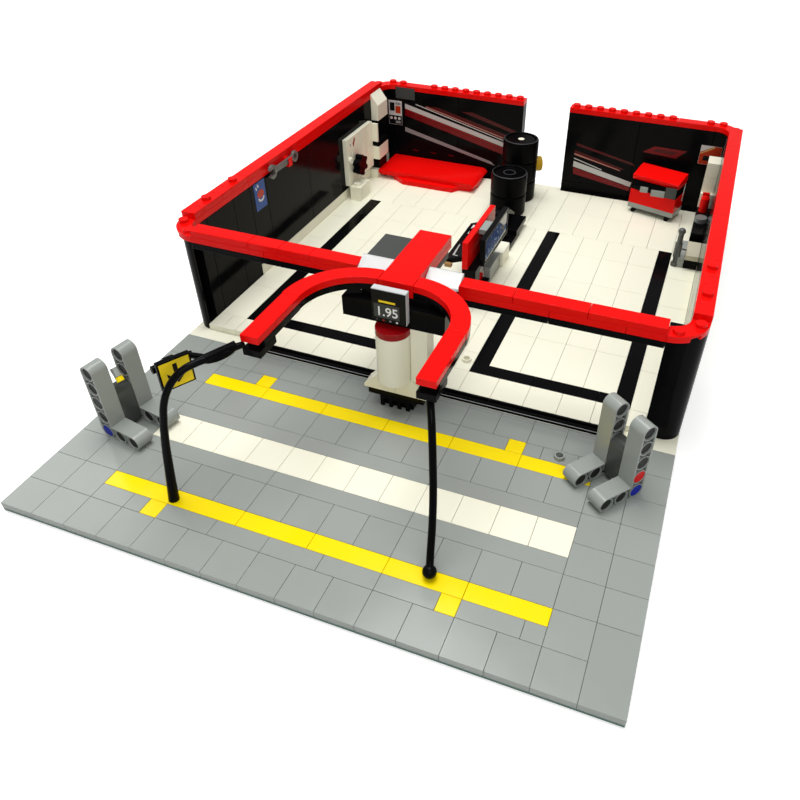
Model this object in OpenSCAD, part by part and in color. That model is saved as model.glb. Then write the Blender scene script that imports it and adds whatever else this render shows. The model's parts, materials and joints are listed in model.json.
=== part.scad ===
// A brick-built toy race garage with its pit lane: two open bays behind a curved gantry.
// Every place is counted in studs from the front left corner of the pit lane.

/* [Stud grid] */
// Distance between stud centres
pitch = 8; // [7.8:0.1:8.2]
// Height of a plate or tile
plate_h = 3.2; // [3:0.1:3.4]
// Radius of a stud
stud_r = 2.4; // [2.2:0.1:2.6]
// Height of a stud
stud_h = 1.7; // [1.4:0.1:2]
// Radius of the blind hole in a hollow stud
stud_bore_r = 1.6; // [1.2:0.1:1.8]
// Gap between neighbouring pieces
seam = 0.16; // [0.1:0.02:0.3]
// Gap between stacked pieces
seat = 0.02; // [0.02:0.01:0.04]
// Thickness of the thin baseplates
base_t = 1.3; // [1:0.1:2]

/* [Walls] */
// Height of the walls in plates
wall_plates = 18; // [16:1:20]
// Thickness of a panel's flat side
panel_skin = 1.6; // [1.2:0.1:2.4]
// Width of a panel's side posts
panel_post = 2.4; // [1.6:0.1:3.2]
// Thickness of the curved corner panels
corner_skin = 1.6; // [1.2:0.1:2.4]

/* [Gantry] */
// Length of the arms' straight part in studs
arm_l = 4; // [3:0.25:4.5]
// Outer radius of the quarter rings in studs
ring_studs = 4; // [4:1:4]
// Radius of the fuel pillar's round bricks
pillar_r = 8; // [7.6:0.1:8]
// Radius of the hose bars
hose_r = 1.6; // [1.4:0.1:1.8]
// Radius of the left hose's moulded grip
grip_r = 3; // [2.6:0.1:3.4]
// Side of the square sign
sign_w = 13.2; // [11:0.2:14]
// Thickness of the sign
sign_t = 2; // [1.6:0.1:2.4]
// Clearance between the sign's clip and its bar
clip_fit = 0.05; // [0.03:0.01:0.1]

/* [Lift-arm stands] */
// Radius of a pin hole
hole_r = 2.4; // [2.3:0.05:2.5]
// Radius of the counterbore round a pin hole
counter_r = 3.1; // [3:0.05:3.3]
// Depth of the counterbore
counter_d = 0.8; // [0.5:0.1:1.2]
// Width of a lift arm across its holes
beam_w = 7.4; // [7.2:0.1:7.6]
// Depth of the hollows between the holes
web_d = 2.6; // [2:0.1:3]
// Thickness of the rim round the hollows
beam_rim = 0.8; // [0.6:0.1:1]
// Thickness of the collar round each counterbore
collar_t = 0.4; // [0.3:0.1:0.5]
// Clearance between a pin and its hole
pin_fit = 0.05; // [0.03:0.01:0.1]
// Direction of the left stand's feet
left_stand_turn = -10; // [-20:1:10]
// Direction of the right stand's feet
right_stand_turn = 231.7; // [222:0.1:240]

/* [Tyres] */
// Outer radius of a tyre
tyre_r = 12; // [11:0.1:12.2]
// Width of a tyre
tyre_w = 13.9; // [12:0.1:13.9]
// Radius of a tyre's hub
hub_r = 7.2; // [6.8:0.1:7.6]
// Number of tread grooves round a tyre
tread_count = 24; // [12:2:30]
// Depth of the tread grooves
tread_d = 0.6; // [0.3:0.1:0.8]

/* [Trolley] */
// Direction of the trolley's long side
trolley_turn = -15; // [-18:1:-10]
// Radius of the trolley's wheels
wheel_r = 1.5; // [1.4:0.1:1.7]
// Width of the trolley's wheels
wheel_w = 2.4; // [2:0.1:3]
// Radius of the trolley's axles
axle_r = 0.7; // [0.6:0.05:0.8]
// Clearance between an axle and its hangers
axle_fit = 0.06; // [0.03:0.01:0.1]

/* [Hand wheel] */
// Reach of the hand wheel's lobes
wheel_reach = 7.2; // [6.6:0.1:7.5]
// Radius of one lobe
lobe_r = 1.7; // [1.4:0.1:1.9]
// Number of lobes
lobe_count = 6; // [5:1:7]
// Radius of the pin that carries the hand wheel
spindle_r = 2.4; // [2.2:0.1:2.6]
// Clearance between the pin and the hand wheel
spindle_fit = 0.06; // [0.03:0.01:0.1]

/* [Hidden] */

$fn = 48;
small = 0.01;

// Heights of the layers
brick_h = 3 * plate_h;
pit_top = base_t + plate_h;
bay_top = pit_top + plate_h;
wall_top = pit_top + wall_plates * plate_h;
rim_top = wall_top + 2 * plate_h;
foot_top = pit_top + brick_h;

// The ground in studs
site_w = 32;
pit_d = 16;
bay_d = 32;
site_d = pit_d + bay_d;
mid = site_w / 2;
floor_shift = 0.5;
floor_front = pit_d + floor_shift;
wall_in = site_w - 1;
back_in = site_d - 1;
gate_left = mid - 2;
gate_right = mid + 2;
site_back = site_d * pitch;
site_right = site_w * pitch;

// Pit lane: the yellow lines, the white band and the stubs
line_from = 4;
line_to = site_w - 4;
near_line = 3;
far_line = pit_d - 4;
band_row = pit_d / 2 - 1;
stub_left = 7;
stub_right = site_w - 9;

// Gantry and roof in studs
bar_from = mid - 1;
bar_to = mid + 1;
ring_r = ring_studs * pitch;
arm_left = bar_from - ring_studs;
arm_right = bar_to + ring_studs - 1;
ring_y = pit_d - 4.5;
arm_tip = ring_y - arm_l;
bar_front = ring_y + ring_studs - 1;
bar_back = bar_front + 6;
centre_from = mid - 3;
centre_to = mid + 3;
post_y = bar_front - 0.5;
post_x = mid;

// Lift-arm stands: the middle of each stand, in millimetres from the front left corner
left_stand_at = [17.4, 59.6];
right_stand_at = [site_right - 22.5, pit_d * pitch - 23.8];
upright_holes = 5;
foot_holes = 3;
core_holes = 3;
pin_inset = 0.4;

// Tyre stacks
front_stack = [mid * pitch - 9.8, site_back - 57.4];
back_stack = [mid * pitch - 9.8, site_back - 32.8];
tyre_gap = 0.05;

// Trolley: the middle of its wheelbase
trolley_at = [site_right - 43.4, site_back - 23];
trolley_l = 4 * pitch;
trolley_d = 2 * pitch;

// Routes of the hoses: how far each point lies from the arm's tip, and its share of the tip's height
left_route = [
    [0.8, 0.8, 1], [-3, -5.4, 1], [-7, -11, 0.992], [-10.4, -15.6, 0.9855], [-13, -19.2, 0.9694],
    [-15.2, -22.2, 0.9307], [-17.2, -25, 0.8662], [-18.8, -27.2, 0.7759], [-19.8, -28.6, 0.6632], [-21, -30.2, 0.4698],
    [-22, -31.6, 0.2442], [-23, -33, 0]
];
right_route = [
    [4, 4, 1], [6, 0, 0.9369], [8.4, -5, 0.7885], [10.6, -10, 0.6215], [12.8, -15.4, 0.436],
    [14.6, -21, 0.2505], [16.2, -27, 0.0909], [17.4, -31, 0]
];
left_tip = [arm_left * pitch, arm_tip * pitch, rim_top - plate_h / 2];
right_tip = [arm_right * pitch, arm_tip * pitch, rim_top - 2 * plate_h - 1.35];
left_end = pit_top + 0.35;
right_end_r = 2.8;
right_end = pit_top + right_end_r + 0.2;
hose_sides = 8;
sign_stub = [[-17.8, -8.6, -3.7], [-7, -10.6, -0.9]];

// Grid helpers
module site() {
    translate([-site_w * pitch / 2, -site_d * pitch / 2, 0]) children();
}

// A block from one corner to the other, in millimetres
module block(a, b) {
    translate(a) cube(b - a);
}

// A flat-topped piece: its place and size in studs, its foot and its height in millimetres
module slab(x, y, nx, ny, z, h) {
    translate([x * pitch + seam / 2, y * pitch + seam / 2, z])
        cube([nx * pitch - seam, ny * pitch - seam, h - seat]);
}

module tile(x, y, nx, ny, z) {
    slab(x, y, nx, ny, z, plate_h);
}

module stud(x, y, z) {
    translate([x * pitch, y * pitch, z - 2 * seat]) cylinder(r = stud_r, h = stud_h + 2 * seat);
}

// A plate or brick whose studs show
module studded(x, y, nx, ny, z, h) {
    slab(x, y, nx, ny, z, h);
    for (i = [0 : nx - 1], j = [0 : ny - 1]) stud(x + i + 0.5, y + j + 0.5, z + h);
}

// A jumper with one hollow stud in its middle
module jumper(x, y, nx, ny, z) {
    middle = [(x + nx / 2) * pitch, (y + ny / 2) * pitch, z + plate_h];
    difference() {
        union() {
            tile(x, y, nx, ny, z);
            stud(x + nx / 2, y + ny / 2, z + plate_h);
        }
        translate(middle - [0, 0, plate_h / 2]) cylinder(r = stud_bore_r, h = plate_h + stud_h);
    }
}

// A row of tiles that starts and ends at the given studs
module tile_row(y, ny, edges, z) {
    for (i = [0 : len(edges) - 2]) tile(edges[i], y, edges[i + 1] - edges[i], ny, z);
}

// The edges of pieces of one length from one stud to another, the last piece cut to fit
function cuts(from, to, by) = concat([for (v = [from : by : to - 0.3]) v], [to]);

// Pieces of one size side by side over a field, the last ones cut to fit
module field(x_edges, y_edges, z, h = plate_h) {
    for (i = [0 : len(x_edges) - 2], j = [0 : len(y_edges) - 2])
        slab(x_edges[i], y_edges[j], x_edges[i + 1] - x_edges[i], y_edges[j + 1] - y_edges[j], z, h);
}

// A quarter of a flat disc about a centre, turned to its quadrant
module quarter_disc(centre, r, turn, z, h) {
    translate([centre[0], centre[1], z]) rotate([0, 0, turn]) intersection() {
        cylinder(r = r, h = h);
        translate([0, 0, -small]) cube([r + 1, r + 1, h + 2 * small]);
    }
}

module quarter_ring(centre, r_out, r_in, turn, z, h) {
    difference() {
        quarter_disc(centre, r_out, turn, z, h);
        translate([centre[0], centre[1], z - 1]) cylinder(r = r_in, h = h + 2);
    }
}

// A tall panel along x: flat towards -y, hollow behind between two posts and two ledges
module wall_panel(x, nx, z, h) {
    w = nx * pitch - seam;
    translate([x * pitch + seam / 2, 0, z]) difference() {
        cube([w, pitch - seam / 2, h - seat]);
        translate([panel_post, panel_skin, plate_h]) cube([w - 2 * panel_post, pitch, h - 2 * plate_h]);
    }
}

// Turns a wall built along x to the left side, the right side or the back
module on_left() {
    translate([pitch, 0, 0]) rotate([0, 0, 90]) children();
}

module on_right() {
    translate([wall_in * pitch, 0, 0]) mirror([1, 0, 0]) rotate([0, 0, 90]) children();
}

module on_back() {
    translate([0, back_in * pitch, 0]) children();
}

// Ground
module pit_baseplate() site() color("green") slab(0, 0, site_w, pit_d, 0, base_t);

module garage_baseplate() site() color("green") slab(0, pit_d, site_w, bay_d, 0, base_t);

module pit_tiles_grey() site() color("darkgray") {
    across = cuts(line_from, line_to, 2);
    field([0, 2, 4], cuts(0, pit_d, 2), base_t);
    field([line_to, line_to + 2], cuts(0, pit_d, 2), base_t);
    field([line_to + 2, site_w], cuts(4, pit_d, 2), base_t);
    tile(line_to + 2, 0, 2, 4, base_t);
    field(across, [0, near_line - 1], base_t);
    field(across, [near_line + 1, band_row - 1], base_t);
    field(across, [band_row + 3, far_line], base_t);
    field(across, [far_line + 2, pit_d], base_t);
    tile_row(near_line - 1, 1, [line_from, 6, stub_left], base_t);
    tile_row(near_line - 1, 1, cuts(stub_left + 1, stub_right, 3), base_t);
    tile_row(near_line - 1, 1, [stub_right + 1, line_to - 1, line_to], base_t);
    tile_row(band_row - 1, 1, [line_from, 12, line_to - 8, line_to], base_t);
    tile_row(band_row + 2, 1, [line_from, 12, line_to - 8, line_to], base_t);
    tile_row(far_line + 1, 1, [line_from, 6, stub_left], base_t);
    tile_row(far_line + 1, 1, cuts(stub_left + 1, stub_right, 3), base_t);
    tile_row(far_line + 1, 1, [stub_right + 1, line_to - 3], base_t);
    jumper(line_to - 3, far_line + 1, 2, 1, base_t);
    tile(line_to - 1, far_line + 1, 1, 1, base_t);
}

module pit_tiles_yellow() site() color("gold") {
    for (y = [near_line, far_line]) tile_row(y, 1, cuts(line_from, line_to, 4), base_t);
    for (x = [stub_left, stub_right]) {
        tile(x, near_line - 1, 1, 1, base_t);
        tile(x, far_line + 1, 1, 1, base_t);
    }
}

module pit_tiles_white() site() color("white")
    tile_row(band_row, 2, cuts(line_from, line_to, 2), base_t);

// The white plates under the bays, one stud deep at the front ledge
module floor_plates() site() color("white")
    field(cuts(0, site_w, 8), [pit_d, pit_d + 1, pit_d + 11, pit_d + 21, site_d], base_t);

// Bay floor: strips between the black lines
left_leg = 3;
right_leg_a = mid + 3;
right_leg_b = site_w - 4;
cross_y = pit_d + 2.5;
cross_back = cross_y + 1;
leg_back = cross_y + 20;
field_back = site_d - 1.5;

module floor_field(x, nx, y, ny) field(cuts(x, x + nx, 2), cuts(y, y + ny, 4), pit_top);

module bay_tiles_white() site() color("white") {
    jumper_x = right_leg_a - 1;
    tile(site_w - 2, floor_front + 1, 1, 1, pit_top);
    tile_row(floor_front + floor_shift, 1.5, [1, 2, 3, 5], pit_top);
    tile_row(floor_front, 2, cuts(5, site_w - 3, 2), pit_top);
    tile_row(floor_front + floor_shift, 1.5, [site_w - 3, site_w - 2], pit_top);
    floor_field(1, left_leg - 1, cross_y, field_back - cross_y);
    floor_field(left_leg + 1, centre_from - left_leg - 1, cross_back, leg_back - cross_back);
    floor_field(centre_from, jumper_x - centre_from, cross_y, 1);
    floor_field(centre_from, jumper_x - centre_from, cross_back, leg_back - cross_back);
    jumper(jumper_x, cross_y, 1, 2, pit_top);
    floor_field(jumper_x, 1, cross_y + 2, leg_back - cross_y - 2);
    floor_field(right_leg_a + 1, right_leg_b - right_leg_a - 1, cross_back, leg_back - cross_back);
    floor_field(right_leg_b + 1, wall_in - right_leg_b - 1, cross_y, field_back - cross_y);
    floor_field(left_leg, right_leg_b + 1 - left_leg, leg_back, field_back - leg_back);
}

module bay_lines_black() site() color([0.08, 0.08, 0.08]) {
    for (x = [left_leg, right_leg_a, right_leg_b]) floor_field(x, 1, cross_back, leg_back - cross_back);
    tile_row(cross_y, 1, cuts(left_leg, centre_from, 4), pit_top);
    tile_row(cross_y, 1, cuts(right_leg_a, right_leg_b + 1, 4), pit_top);
}

// Door rails: a strip with a deep groove between two lips
module door_rail() site() color([0.08, 0.08, 0.08]) {
    lip = 1;
    edges = cuts(5, site_w - 3, 8);
    for (i = [0 : len(edges) - 2])
        translate([edges[i] * pitch + seam / 2, pit_d * pitch + seam, pit_top]) rotate([90, 0, 90])
            linear_extrude((edges[i + 1] - edges[i]) * pitch - seam) difference() {
                square([pitch / 2 - 2 * seam, plate_h]);
                translate([lip, plate_h / 3]) square([pitch / 2 - 2 * seam - 2 * lip, plate_h]);
            }
}

// Shell
// A round corner one stud wide, hollow towards the bay between two solid ends,
// with flat studs beside it if it is wider
module corner_panel(studs) {
    y = (pit_d + 1) * pitch;
    centre = [pitch, y + pitch];
    height = wall_top - pit_top;
    quarter_ring(centre, pitch - seam, pitch - corner_skin, 180, pit_top, height - seat);
    for (z = [pit_top, wall_top - plate_h]) quarter_disc(centre, pitch - seam, 180, z, plate_h - seat);
    if (studs > 1) {
        block([pitch - seam, y + seam, pit_top], [studs * pitch - seam, y + corner_skin, wall_top - seat]);
        block([pitch - seam, y + seam, wall_top - plate_h],
            [studs * pitch - seam, y + pitch - seam, wall_top - seat]);
    }
}

module corner_panel_left() site() color([0.06, 0.06, 0.06]) corner_panel(1);

module corner_panel_right() site() color([0.06, 0.06, 0.06])
    translate([site_right, 0, 0]) mirror([1, 0, 0]) corner_panel(2);

module side_wall() {
    poster = pit_d + 8;
    low = [pit_d + 2, pit_d + 3, pit_d + 6, poster];
    for (i = [0 : 2]) wall_panel(low[i], low[i + 1] - low[i], pit_top, wall_top - pit_top);
    wall_panel(poster, 2, foot_top, wall_top - foot_top);
    edges = [poster + 2, poster + 8, poster + 14, poster + 20, site_d];
    for (i = [0 : 3]) wall_panel(edges[i], edges[i + 1] - edges[i], foot_top, wall_top - foot_top);
}

module side_wall_left() site() color([0.06, 0.06, 0.06]) on_left() side_wall();

module side_wall_right() site() color([0.06, 0.06, 0.06]) on_right() side_wall();

// The back walls start one stud in, beside the end panels of the side walls
module back_wall(edges) {
    for (i = [0 : len(edges) - 2]) {
        n = edges[i + 1] - edges[i];
        slab(edges[i], back_in, n, 1, pit_top, brick_h);
        on_back() wall_panel(edges[i], n, foot_top, wall_top - foot_top);
    }
}

module back_wall_left() site() color([0.06, 0.06, 0.06]) back_wall([1, 2, 8, gate_left]);

module back_wall_right() site() color([0.06, 0.06, 0.06])
    back_wall([gate_right, wall_in - 7, wall_in - 1, wall_in]);

module wall_foot_course() site() color("white")
    for (x = [0, wall_in]) field([x, x + 1], cuts(pit_d + 8, site_d, 8), pit_top, brick_h);

// Rim: plates, studs where they show, and tiles
module rim_side() {
    z = wall_top;
    rim_corner(pit_d + 2, 180);
    rim_corner(site_d - 2, 90);
    for (p = [[0.5, pit_d + 1.5], [1.5, pit_d + 0.5], [0.5, site_d - 1.5], [1.5, site_d - 0.5]])
        stud(p[0], p[1], z + plate_h);
    field([0, 1], [pit_d + 2, pit_d + 8, pit_d + 16, pit_d + 24, site_d - 2], z);
    field([0, 1], [pit_d + 2, pit_d + 3, pit_d + 5, pit_d + 6, pit_d + 8], z + plate_h);
    for (y = [pit_d + 4, pit_d + 7]) stud(0.5, y, z + 2 * plate_h);
    field([0, 1], cuts(pit_d + 8, site_d - 2, 6), z + plate_h);
}

// A round corner plate with a notch under the middle of its bend
module rim_corner(y, turn) {
    centre = [2 * pitch, y * pitch];
    notch = [4, 5, 1.9];
    difference() {
        quarter_ring(centre, 2 * pitch - seam, pitch, turn, wall_top, plate_h - seat);
        translate([centre[0], centre[1], wall_top - 1]) rotate([0, 0, turn + 45])
            translate([2 * pitch - seam - notch[0] / 2, -notch[1] / 2, 0]) cube([notch[0], notch[1], notch[2] + 1]);
    }
}

module rim_left() site() color("red") rim_side();

module rim_right() site() color("red")
    translate([site_right, 0, 0]) mirror([1, 0, 0]) rim_side();

module rim_back_half(gate) {
    z = wall_top;
    field([2, 3, 5, 9, gate], [back_in, site_d], z);
    for (x = concat([2], [for (v = [5 : gate - 0.9]) v])) stud(x + 0.5, back_in + 0.5, z + plate_h);
}

module rim_back() site() color("red") {
    rim_back_half(gate_left);
    translate([site_right, 0, 0]) mirror([1, 0, 0]) rim_back_half(gate_left);
}

module front_beam_left() site() color("red") {
    tile_row(pit_d, 1, [2, 6, 8, 10, centre_from], wall_top + plate_h);
    tile_row(pit_d, 1, [2, 7, centre_from], wall_top);
}

module front_beam_right() site() color("red") {
    tile_row(pit_d, 1, [centre_to, site_w - 10, site_w - 6, site_w - 2], wall_top + plate_h);
    tile_row(pit_d, 1, [centre_to, site_w - 8, site_w - 4, site_w - 2], wall_top);
}

// Black plates under the beams, and the cross plate that ties them through the middle
module beam_underplates() site() color([0.06, 0.06, 0.06]) {
    tile_row(pit_d, 1, [2, 8, centre_from], wall_top - plate_h);
    tile_row(pit_d, 1, [centre_to, site_w - 8, site_w - 2], wall_top - plate_h);
    slab(centre_from, pit_d, centre_to - centre_from, 1, wall_top - plate_h, 2 * plate_h);
    slab(centre_from, pit_d + 1, bar_to - centre_from, 3, wall_top, plate_h);
}

// Gantry
module arm(x) {
    tile(x, arm_tip, 1, ring_y - arm_tip, rim_top);
}

module gantry_left() site() color("red") {
    arm(arm_left);
    quarter_ring([bar_from * pitch - seam, ring_y * pitch], ring_r, ring_r - pitch, 90, rim_top, plate_h);
}

module gantry_right() site() color("red") {
    arm(arm_right);
    quarter_ring([bar_to * pitch + seam, ring_y * pitch], ring_r, ring_r - pitch, 0, rim_top, plate_h);
}

// The bar and the red plates below it
module gantry_bar() site() color("red") {
    tile(bar_from, bar_front, bar_to - bar_from, bar_back - bar_front, rim_top);
    slab(bar_from, bar_front, bar_to - bar_from, bar_back - bar_front, wall_top + plate_h, plate_h);
}

// Black plates under the arms and rings, the cross brick behind the display, and its carriers
module gantry_frame() site() color([0.06, 0.06, 0.06]) {
    z = rim_top - plate_h;
    ring_out = ring_r - seam;
    ring_in = ring_r - pitch + seam;
    for (x = [arm_left, arm_right]) {
        slab(x, arm_tip + 0.5, 1, ring_y - arm_tip - 0.5, z, plate_h);
        slab(x, arm_tip, 1, 1.5, z - plate_h, plate_h);
    }
    quarter_ring([bar_from * pitch - seam, ring_y * pitch + seam], ring_out, ring_in, 90, z, plate_h - seat);
    quarter_ring([bar_to * pitch + seam, ring_y * pitch + seam], ring_out, ring_in, 0, z, plate_h - seat);
    slab(centre_from, post_y, centre_to - centre_from, 1, wall_top - 3 * plate_h, brick_h);
    slab(centre_from + 1, post_y + 0.5, centre_to - centre_from - 2, 1, wall_top, plate_h);
    slab(bar_from, post_y + 1, bar_to - bar_from, 1, wall_top - brick_h, brick_h);
}

// A clear roof slope with a flat lip at its back
module roof_slope(x) {
    lip = 1.2;
    back = pitch - seam;
    rise = 1.6 * plate_h;
    translate([x * pitch + seam / 2, pit_d * pitch, wall_top + plate_h]) rotate([90, 0, 90])
        linear_extrude(2 * pitch - seam) polygon([[seam, 0], [back, 0], [back, rise], [pitch - lip, rise], [seam, lip]]);
}

module roof_slopes() site() color([0.9, 0.95, 1, 0.5]) {
    roof_slope(centre_from);
    roof_slope(bar_to);
}

module roof_tile() site() color([0.3, 0.3, 0.3])
    tile(centre_from, pit_d + 1, 2, 3, wall_top + plate_h);

// Display: a tile on its side, on the face of the cross brick
module display_tile() site() color([0.7, 0.7, 0.7]) {
    foot = wall_top - 2 * plate_h;
    translate([bar_from * pitch + seam / 2, post_y * pitch - plate_h, foot])
        cube([2 * pitch - seam, plate_h + seam / 2, 2 * pitch]);
}

// Fuel pillar under the cross brick, on two slope bricks that spread its foot
pillar_top = wall_top - brick_h - plate_h;
spread_foot = foot_top;
spread_top = spread_foot + brick_h;
slope_lip = 1.5;

module pillar_cap() site() color("darkred")
    translate([post_x * pitch, post_y * pitch, pillar_top]) cylinder(r = pillar_r - seam, h = plate_h);

module fuel_pillar() site() color("white") {
    cx = post_x * pitch;
    cy = post_y * pitch;
    translate([cx, cy, spread_top - small]) cylinder(r = pillar_r - seam, h = pillar_top - spread_top + small);
    slab(post_x + 1, post_y, 1, 1, spread_top - small, pillar_top + plate_h - spread_top + small);
    for (side = [0, 1]) translate([cx, 0, 0]) mirror([side, 0, 0])
        translate([0, cy + pitch, 0]) rotate([90, 0, 0]) linear_extrude(pitch) polygon([
            [seam / 2, spread_foot], [2 * pitch, spread_foot], [2 * pitch, spread_foot + slope_lip],
            [pitch + seam, spread_top], [seam / 2, spread_top]
        ]);
}

// Black plinth under the foot, with a comb of teeth down its front
comb_teeth = 4;
tooth_w = 1.9;
tooth_pitch = 4.3;
comb_t = 1.4;

module pillar_plinth() site() color([0.06, 0.06, 0.06]) {
    cy = post_y * pitch;
    comb_x = (post_x - 1) * pitch;
    plate_z = spread_foot - plate_h;
    slab(post_x - 1.75, post_y, 3.5, 2, plate_z, plate_h);
    slab(post_x - 1, post_y + 0.25, 2, 1.75, pit_top, plate_z - pit_top);
    translate([comb_x, cy, plate_z - 1.6]) cube([2 * pitch, comb_t, 1.6]);
    for (i = [0 : comb_teeth - 1])
        translate([comb_x + i * tooth_pitch, cy, pit_top + 0.3]) cube([tooth_w, comb_t, plate_z - pit_top - 0.3]);
}

// A bar swept along a route: straight sides between rings that face the way the bar goes
function unit(v) = v / norm(v);
function way(route, i) = unit(route[min(i + 1, len(route) - 1)] - route[max(i - 1, 0)]);
function side(w) = unit(cross(w, [0.31, 0.94, 0.1]));
function hung(route, tip, end) = [for (p = route) [tip[0] + p[0], tip[1] + p[1], end + p[2] * (tip[2] - end)]];
function ring(c, w, r) = [for (k = [0 : hose_sides - 1])
    c + r * (cos(360 * k / hose_sides) * side(w) + sin(360 * k / hose_sides) * cross(w, side(w)))];

module bar_along(route, radii) {
    n = len(route);
    pts = [for (i = [0 : n - 1]) each ring(route[i], way(route, i), radii[i])];
    walls = [for (i = [0 : n - 2], k = [0 : hose_sides - 1])
        let (a = i * hose_sides + k, b = i * hose_sides + (k + 1) % hose_sides)
        each [[a, a + hose_sides, b], [b, a + hose_sides, b + hose_sides]]];
    ends = [[for (k = [0 : hose_sides - 1]) k], [for (k = [hose_sides - 1 : -1 : 0]) (n - 1) * hose_sides + k]];
    polyhedron(pts, concat(walls, ends));
}

// The left hose with its grip, the clip round it and the bar that carries the sign
module hose_left() site() color([0.06, 0.06, 0.06]) {
    route = hung(left_route, left_tip, left_end);
    grip = [1.4, 3, 2.6, 1.7];
    bar_along(route, [for (i = [0 : len(route) - 1]) i < 4 ? grip[i] * grip_r / 3 : hose_r + max(0, i - 8) * 0.25]);
    sign_frame() translate([-sign_bar_l / 2, sign_bar_y, sign_bar_z]) rotate([0, 90, 0])
        cylinder(r = hose_r, h = sign_bar_l);
    translate(left_tip) bar_along(sign_stub, [1.3, 1.3]);
}

module hose_right() site() color([0.06, 0.06, 0.06]) {
    route = hung(right_route, right_tip, right_end);
    bar_along(route, [for (p = route) hose_r]);
    translate(route[len(route) - 1]) sphere(r = right_end_r, $fn = 16);
}

// Sign: a square plate with a clip at its back, hung on a short bar
sign_at = left_tip + [-17.5, -18.1, -5.3];
sign_turn = 60.6;
sign_bar_y = sign_t + hose_r + 1.4;
sign_bar_z = 1.6;
sign_bar_l = 18;

module sign_frame() {
    translate(sign_at) rotate([0, 0, sign_turn]) children();
}

// The plate, and a clip at its back that closes three quarters of the way round the bar
module sign() site() color("gold") sign_frame() {
    clip_w = 4;
    translate([-sign_w / 2, 0, -sign_w / 2]) cube([sign_w, sign_t, sign_w]);
    translate([-clip_w / 2, sign_bar_y, sign_bar_z]) rotate([0, 90, 0]) difference() {
        union() {
            cylinder(r = hose_r + clip_fit + 1.2, h = clip_w);
            translate([-1.5, sign_t - sign_bar_y - small, 0]) cube([3, sign_bar_y - sign_t - hose_r - 0.4, clip_w]);
        }
        translate([0, 0, -1]) cylinder(r = hose_r + clip_fit, h = clip_w + 2);
        translate([-1.3, 0, -1]) cube([2.6, 2 * hose_r + 4, clip_w + 2]);
    }
}

// Lift-arm stands
module lift_arm(n) {
    r = beam_w / 2;
    hull() {
        circle(r = r);
        translate([(n - 1) * pitch, 0]) circle(r = r);
    }
}

// Holes, counterbores and hollows of one straight run of a beam
module arm_cuts(n, t) {
    for (i = [0 : n - 1]) translate([i * pitch, 0, 0]) {
        translate([0, 0, -1]) cylinder(r = hole_r, h = t + 2);
        for (z = [-1, t - counter_d]) translate([0, 0, z]) cylinder(r = counter_r, h = counter_d + 1);
    }
    for (i = [0 : n - 2], z = [-1, t - web_d]) translate([i * pitch, 0, z]) difference() {
        translate([1, beam_rim - beam_w / 2, 0]) cube([pitch - 2, beam_w - 2 * beam_rim, web_d + 1]);
        for (x = [0, pitch]) translate([x, 0, -1]) cylinder(r = counter_r + collar_t, h = web_d + 3);
    }
}

module beam_profile(n_up, n_foot) {
    r = beam_w / 2;
    union() {
        translate([-r, 0]) square([beam_w, (n_up - 1) * pitch]);
        translate([0, (n_up - 1) * pitch]) circle(r = r);
        translate([0, -r]) square([(n_foot - 1) * pitch, beam_w]);
        translate([(n_foot - 1) * pitch, 0]) circle(r = r);
        circle(r = r);
    }
}

// A bent beam that stands on its short arm: holes run through its thickness
module bent_beam() {
    t = pitch - seam;
    difference() {
        linear_extrude(t) beam_profile(upright_holes, foot_holes);
        arm_cuts(foot_holes, t);
        rotate([0, 0, 90]) arm_cuts(upright_holes, t);
    }
}

// Places a stand: x along its feet, y across its beams, z up from the pit lane
module stand_frame(at, turn) {
    translate([at[0], at[1], pit_top]) rotate([0, 0, turn]) children();
}

module stand_beams() {
    for (side = [-1.5, 0.5])
        translate([0, side * pitch + pitch - seam / 2, beam_w / 2]) rotate([90, 0, 0]) bent_beam();
}

module stand_core() {
    t = pitch - seam;
    pin_r = hole_r - pin_fit;
    translate([0, t / 2, beam_w / 2]) rotate([90, 0, 0]) difference() {
        linear_extrude(t) rotate([0, 0, 90]) lift_arm(core_holes);
        rotate([0, 0, 90]) translate([pitch, 0, -1]) cylinder(r = hole_r, h = t + 2);
    }
    for (z = [0, core_holes - 1]) translate([0, 0, beam_w / 2 + z * pitch]) rotate([90, 0, 0])
        cylinder(r = pin_r, h = 3 * pitch - 2 * pin_inset, center = true);
}

module stand_left_beams() site() color("darkgray") stand_frame(left_stand_at, left_stand_turn) stand_beams();

module stand_left_core() site() color("dimgray") stand_frame(left_stand_at, left_stand_turn) stand_core();

module stand_right_beams() site() color("darkgray") stand_frame(right_stand_at, right_stand_turn) stand_beams();

module stand_right_core() site() color("dimgray") stand_frame(right_stand_at, right_stand_turn) stand_core();

// Tyres: each one a ring with a tread, closed by a hub with a raised collar
hub_inset = 0.9;
collar_r = 2.4;

module tyre_ring() {
    bead_r = 9;
    difference() {
        rotate_extrude() polygon([
            [hub_r, 0.5], [bead_r, 0], [tyre_r - 1.6, 0], [tyre_r, 1.6],
            [tyre_r, tyre_w - 1.6], [tyre_r - 1.6, tyre_w], [bead_r, tyre_w], [hub_r, tyre_w - 0.5]
        ]);
        for (k = [0 : tread_count - 1]) rotate([0, 0, 360 * k / tread_count])
            translate([tyre_r - tread_d, -0.4, 3]) cube([2, 0.8, tyre_w - 6]);
    }
}

module hub() {
    difference() {
        union() {
            translate([0, 0, hub_inset]) cylinder(r = hub_r, h = tyre_w - 2 * hub_inset);
            cylinder(r = collar_r, h = tyre_w);
        }
        translate([0, 0, -1]) cylinder(r = stud_bore_r, h = tyre_w + 2);
    }
}

module tyre_at(at, level) {
    translate([at[0], at[1], bay_top + level * (tyre_w + tyre_gap)]) {
        tyre_ring();
        hub();
    }
}

module tyre_front_top() site() color([0.1, 0.1, 0.1]) tyre_at(front_stack, 1);

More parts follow.
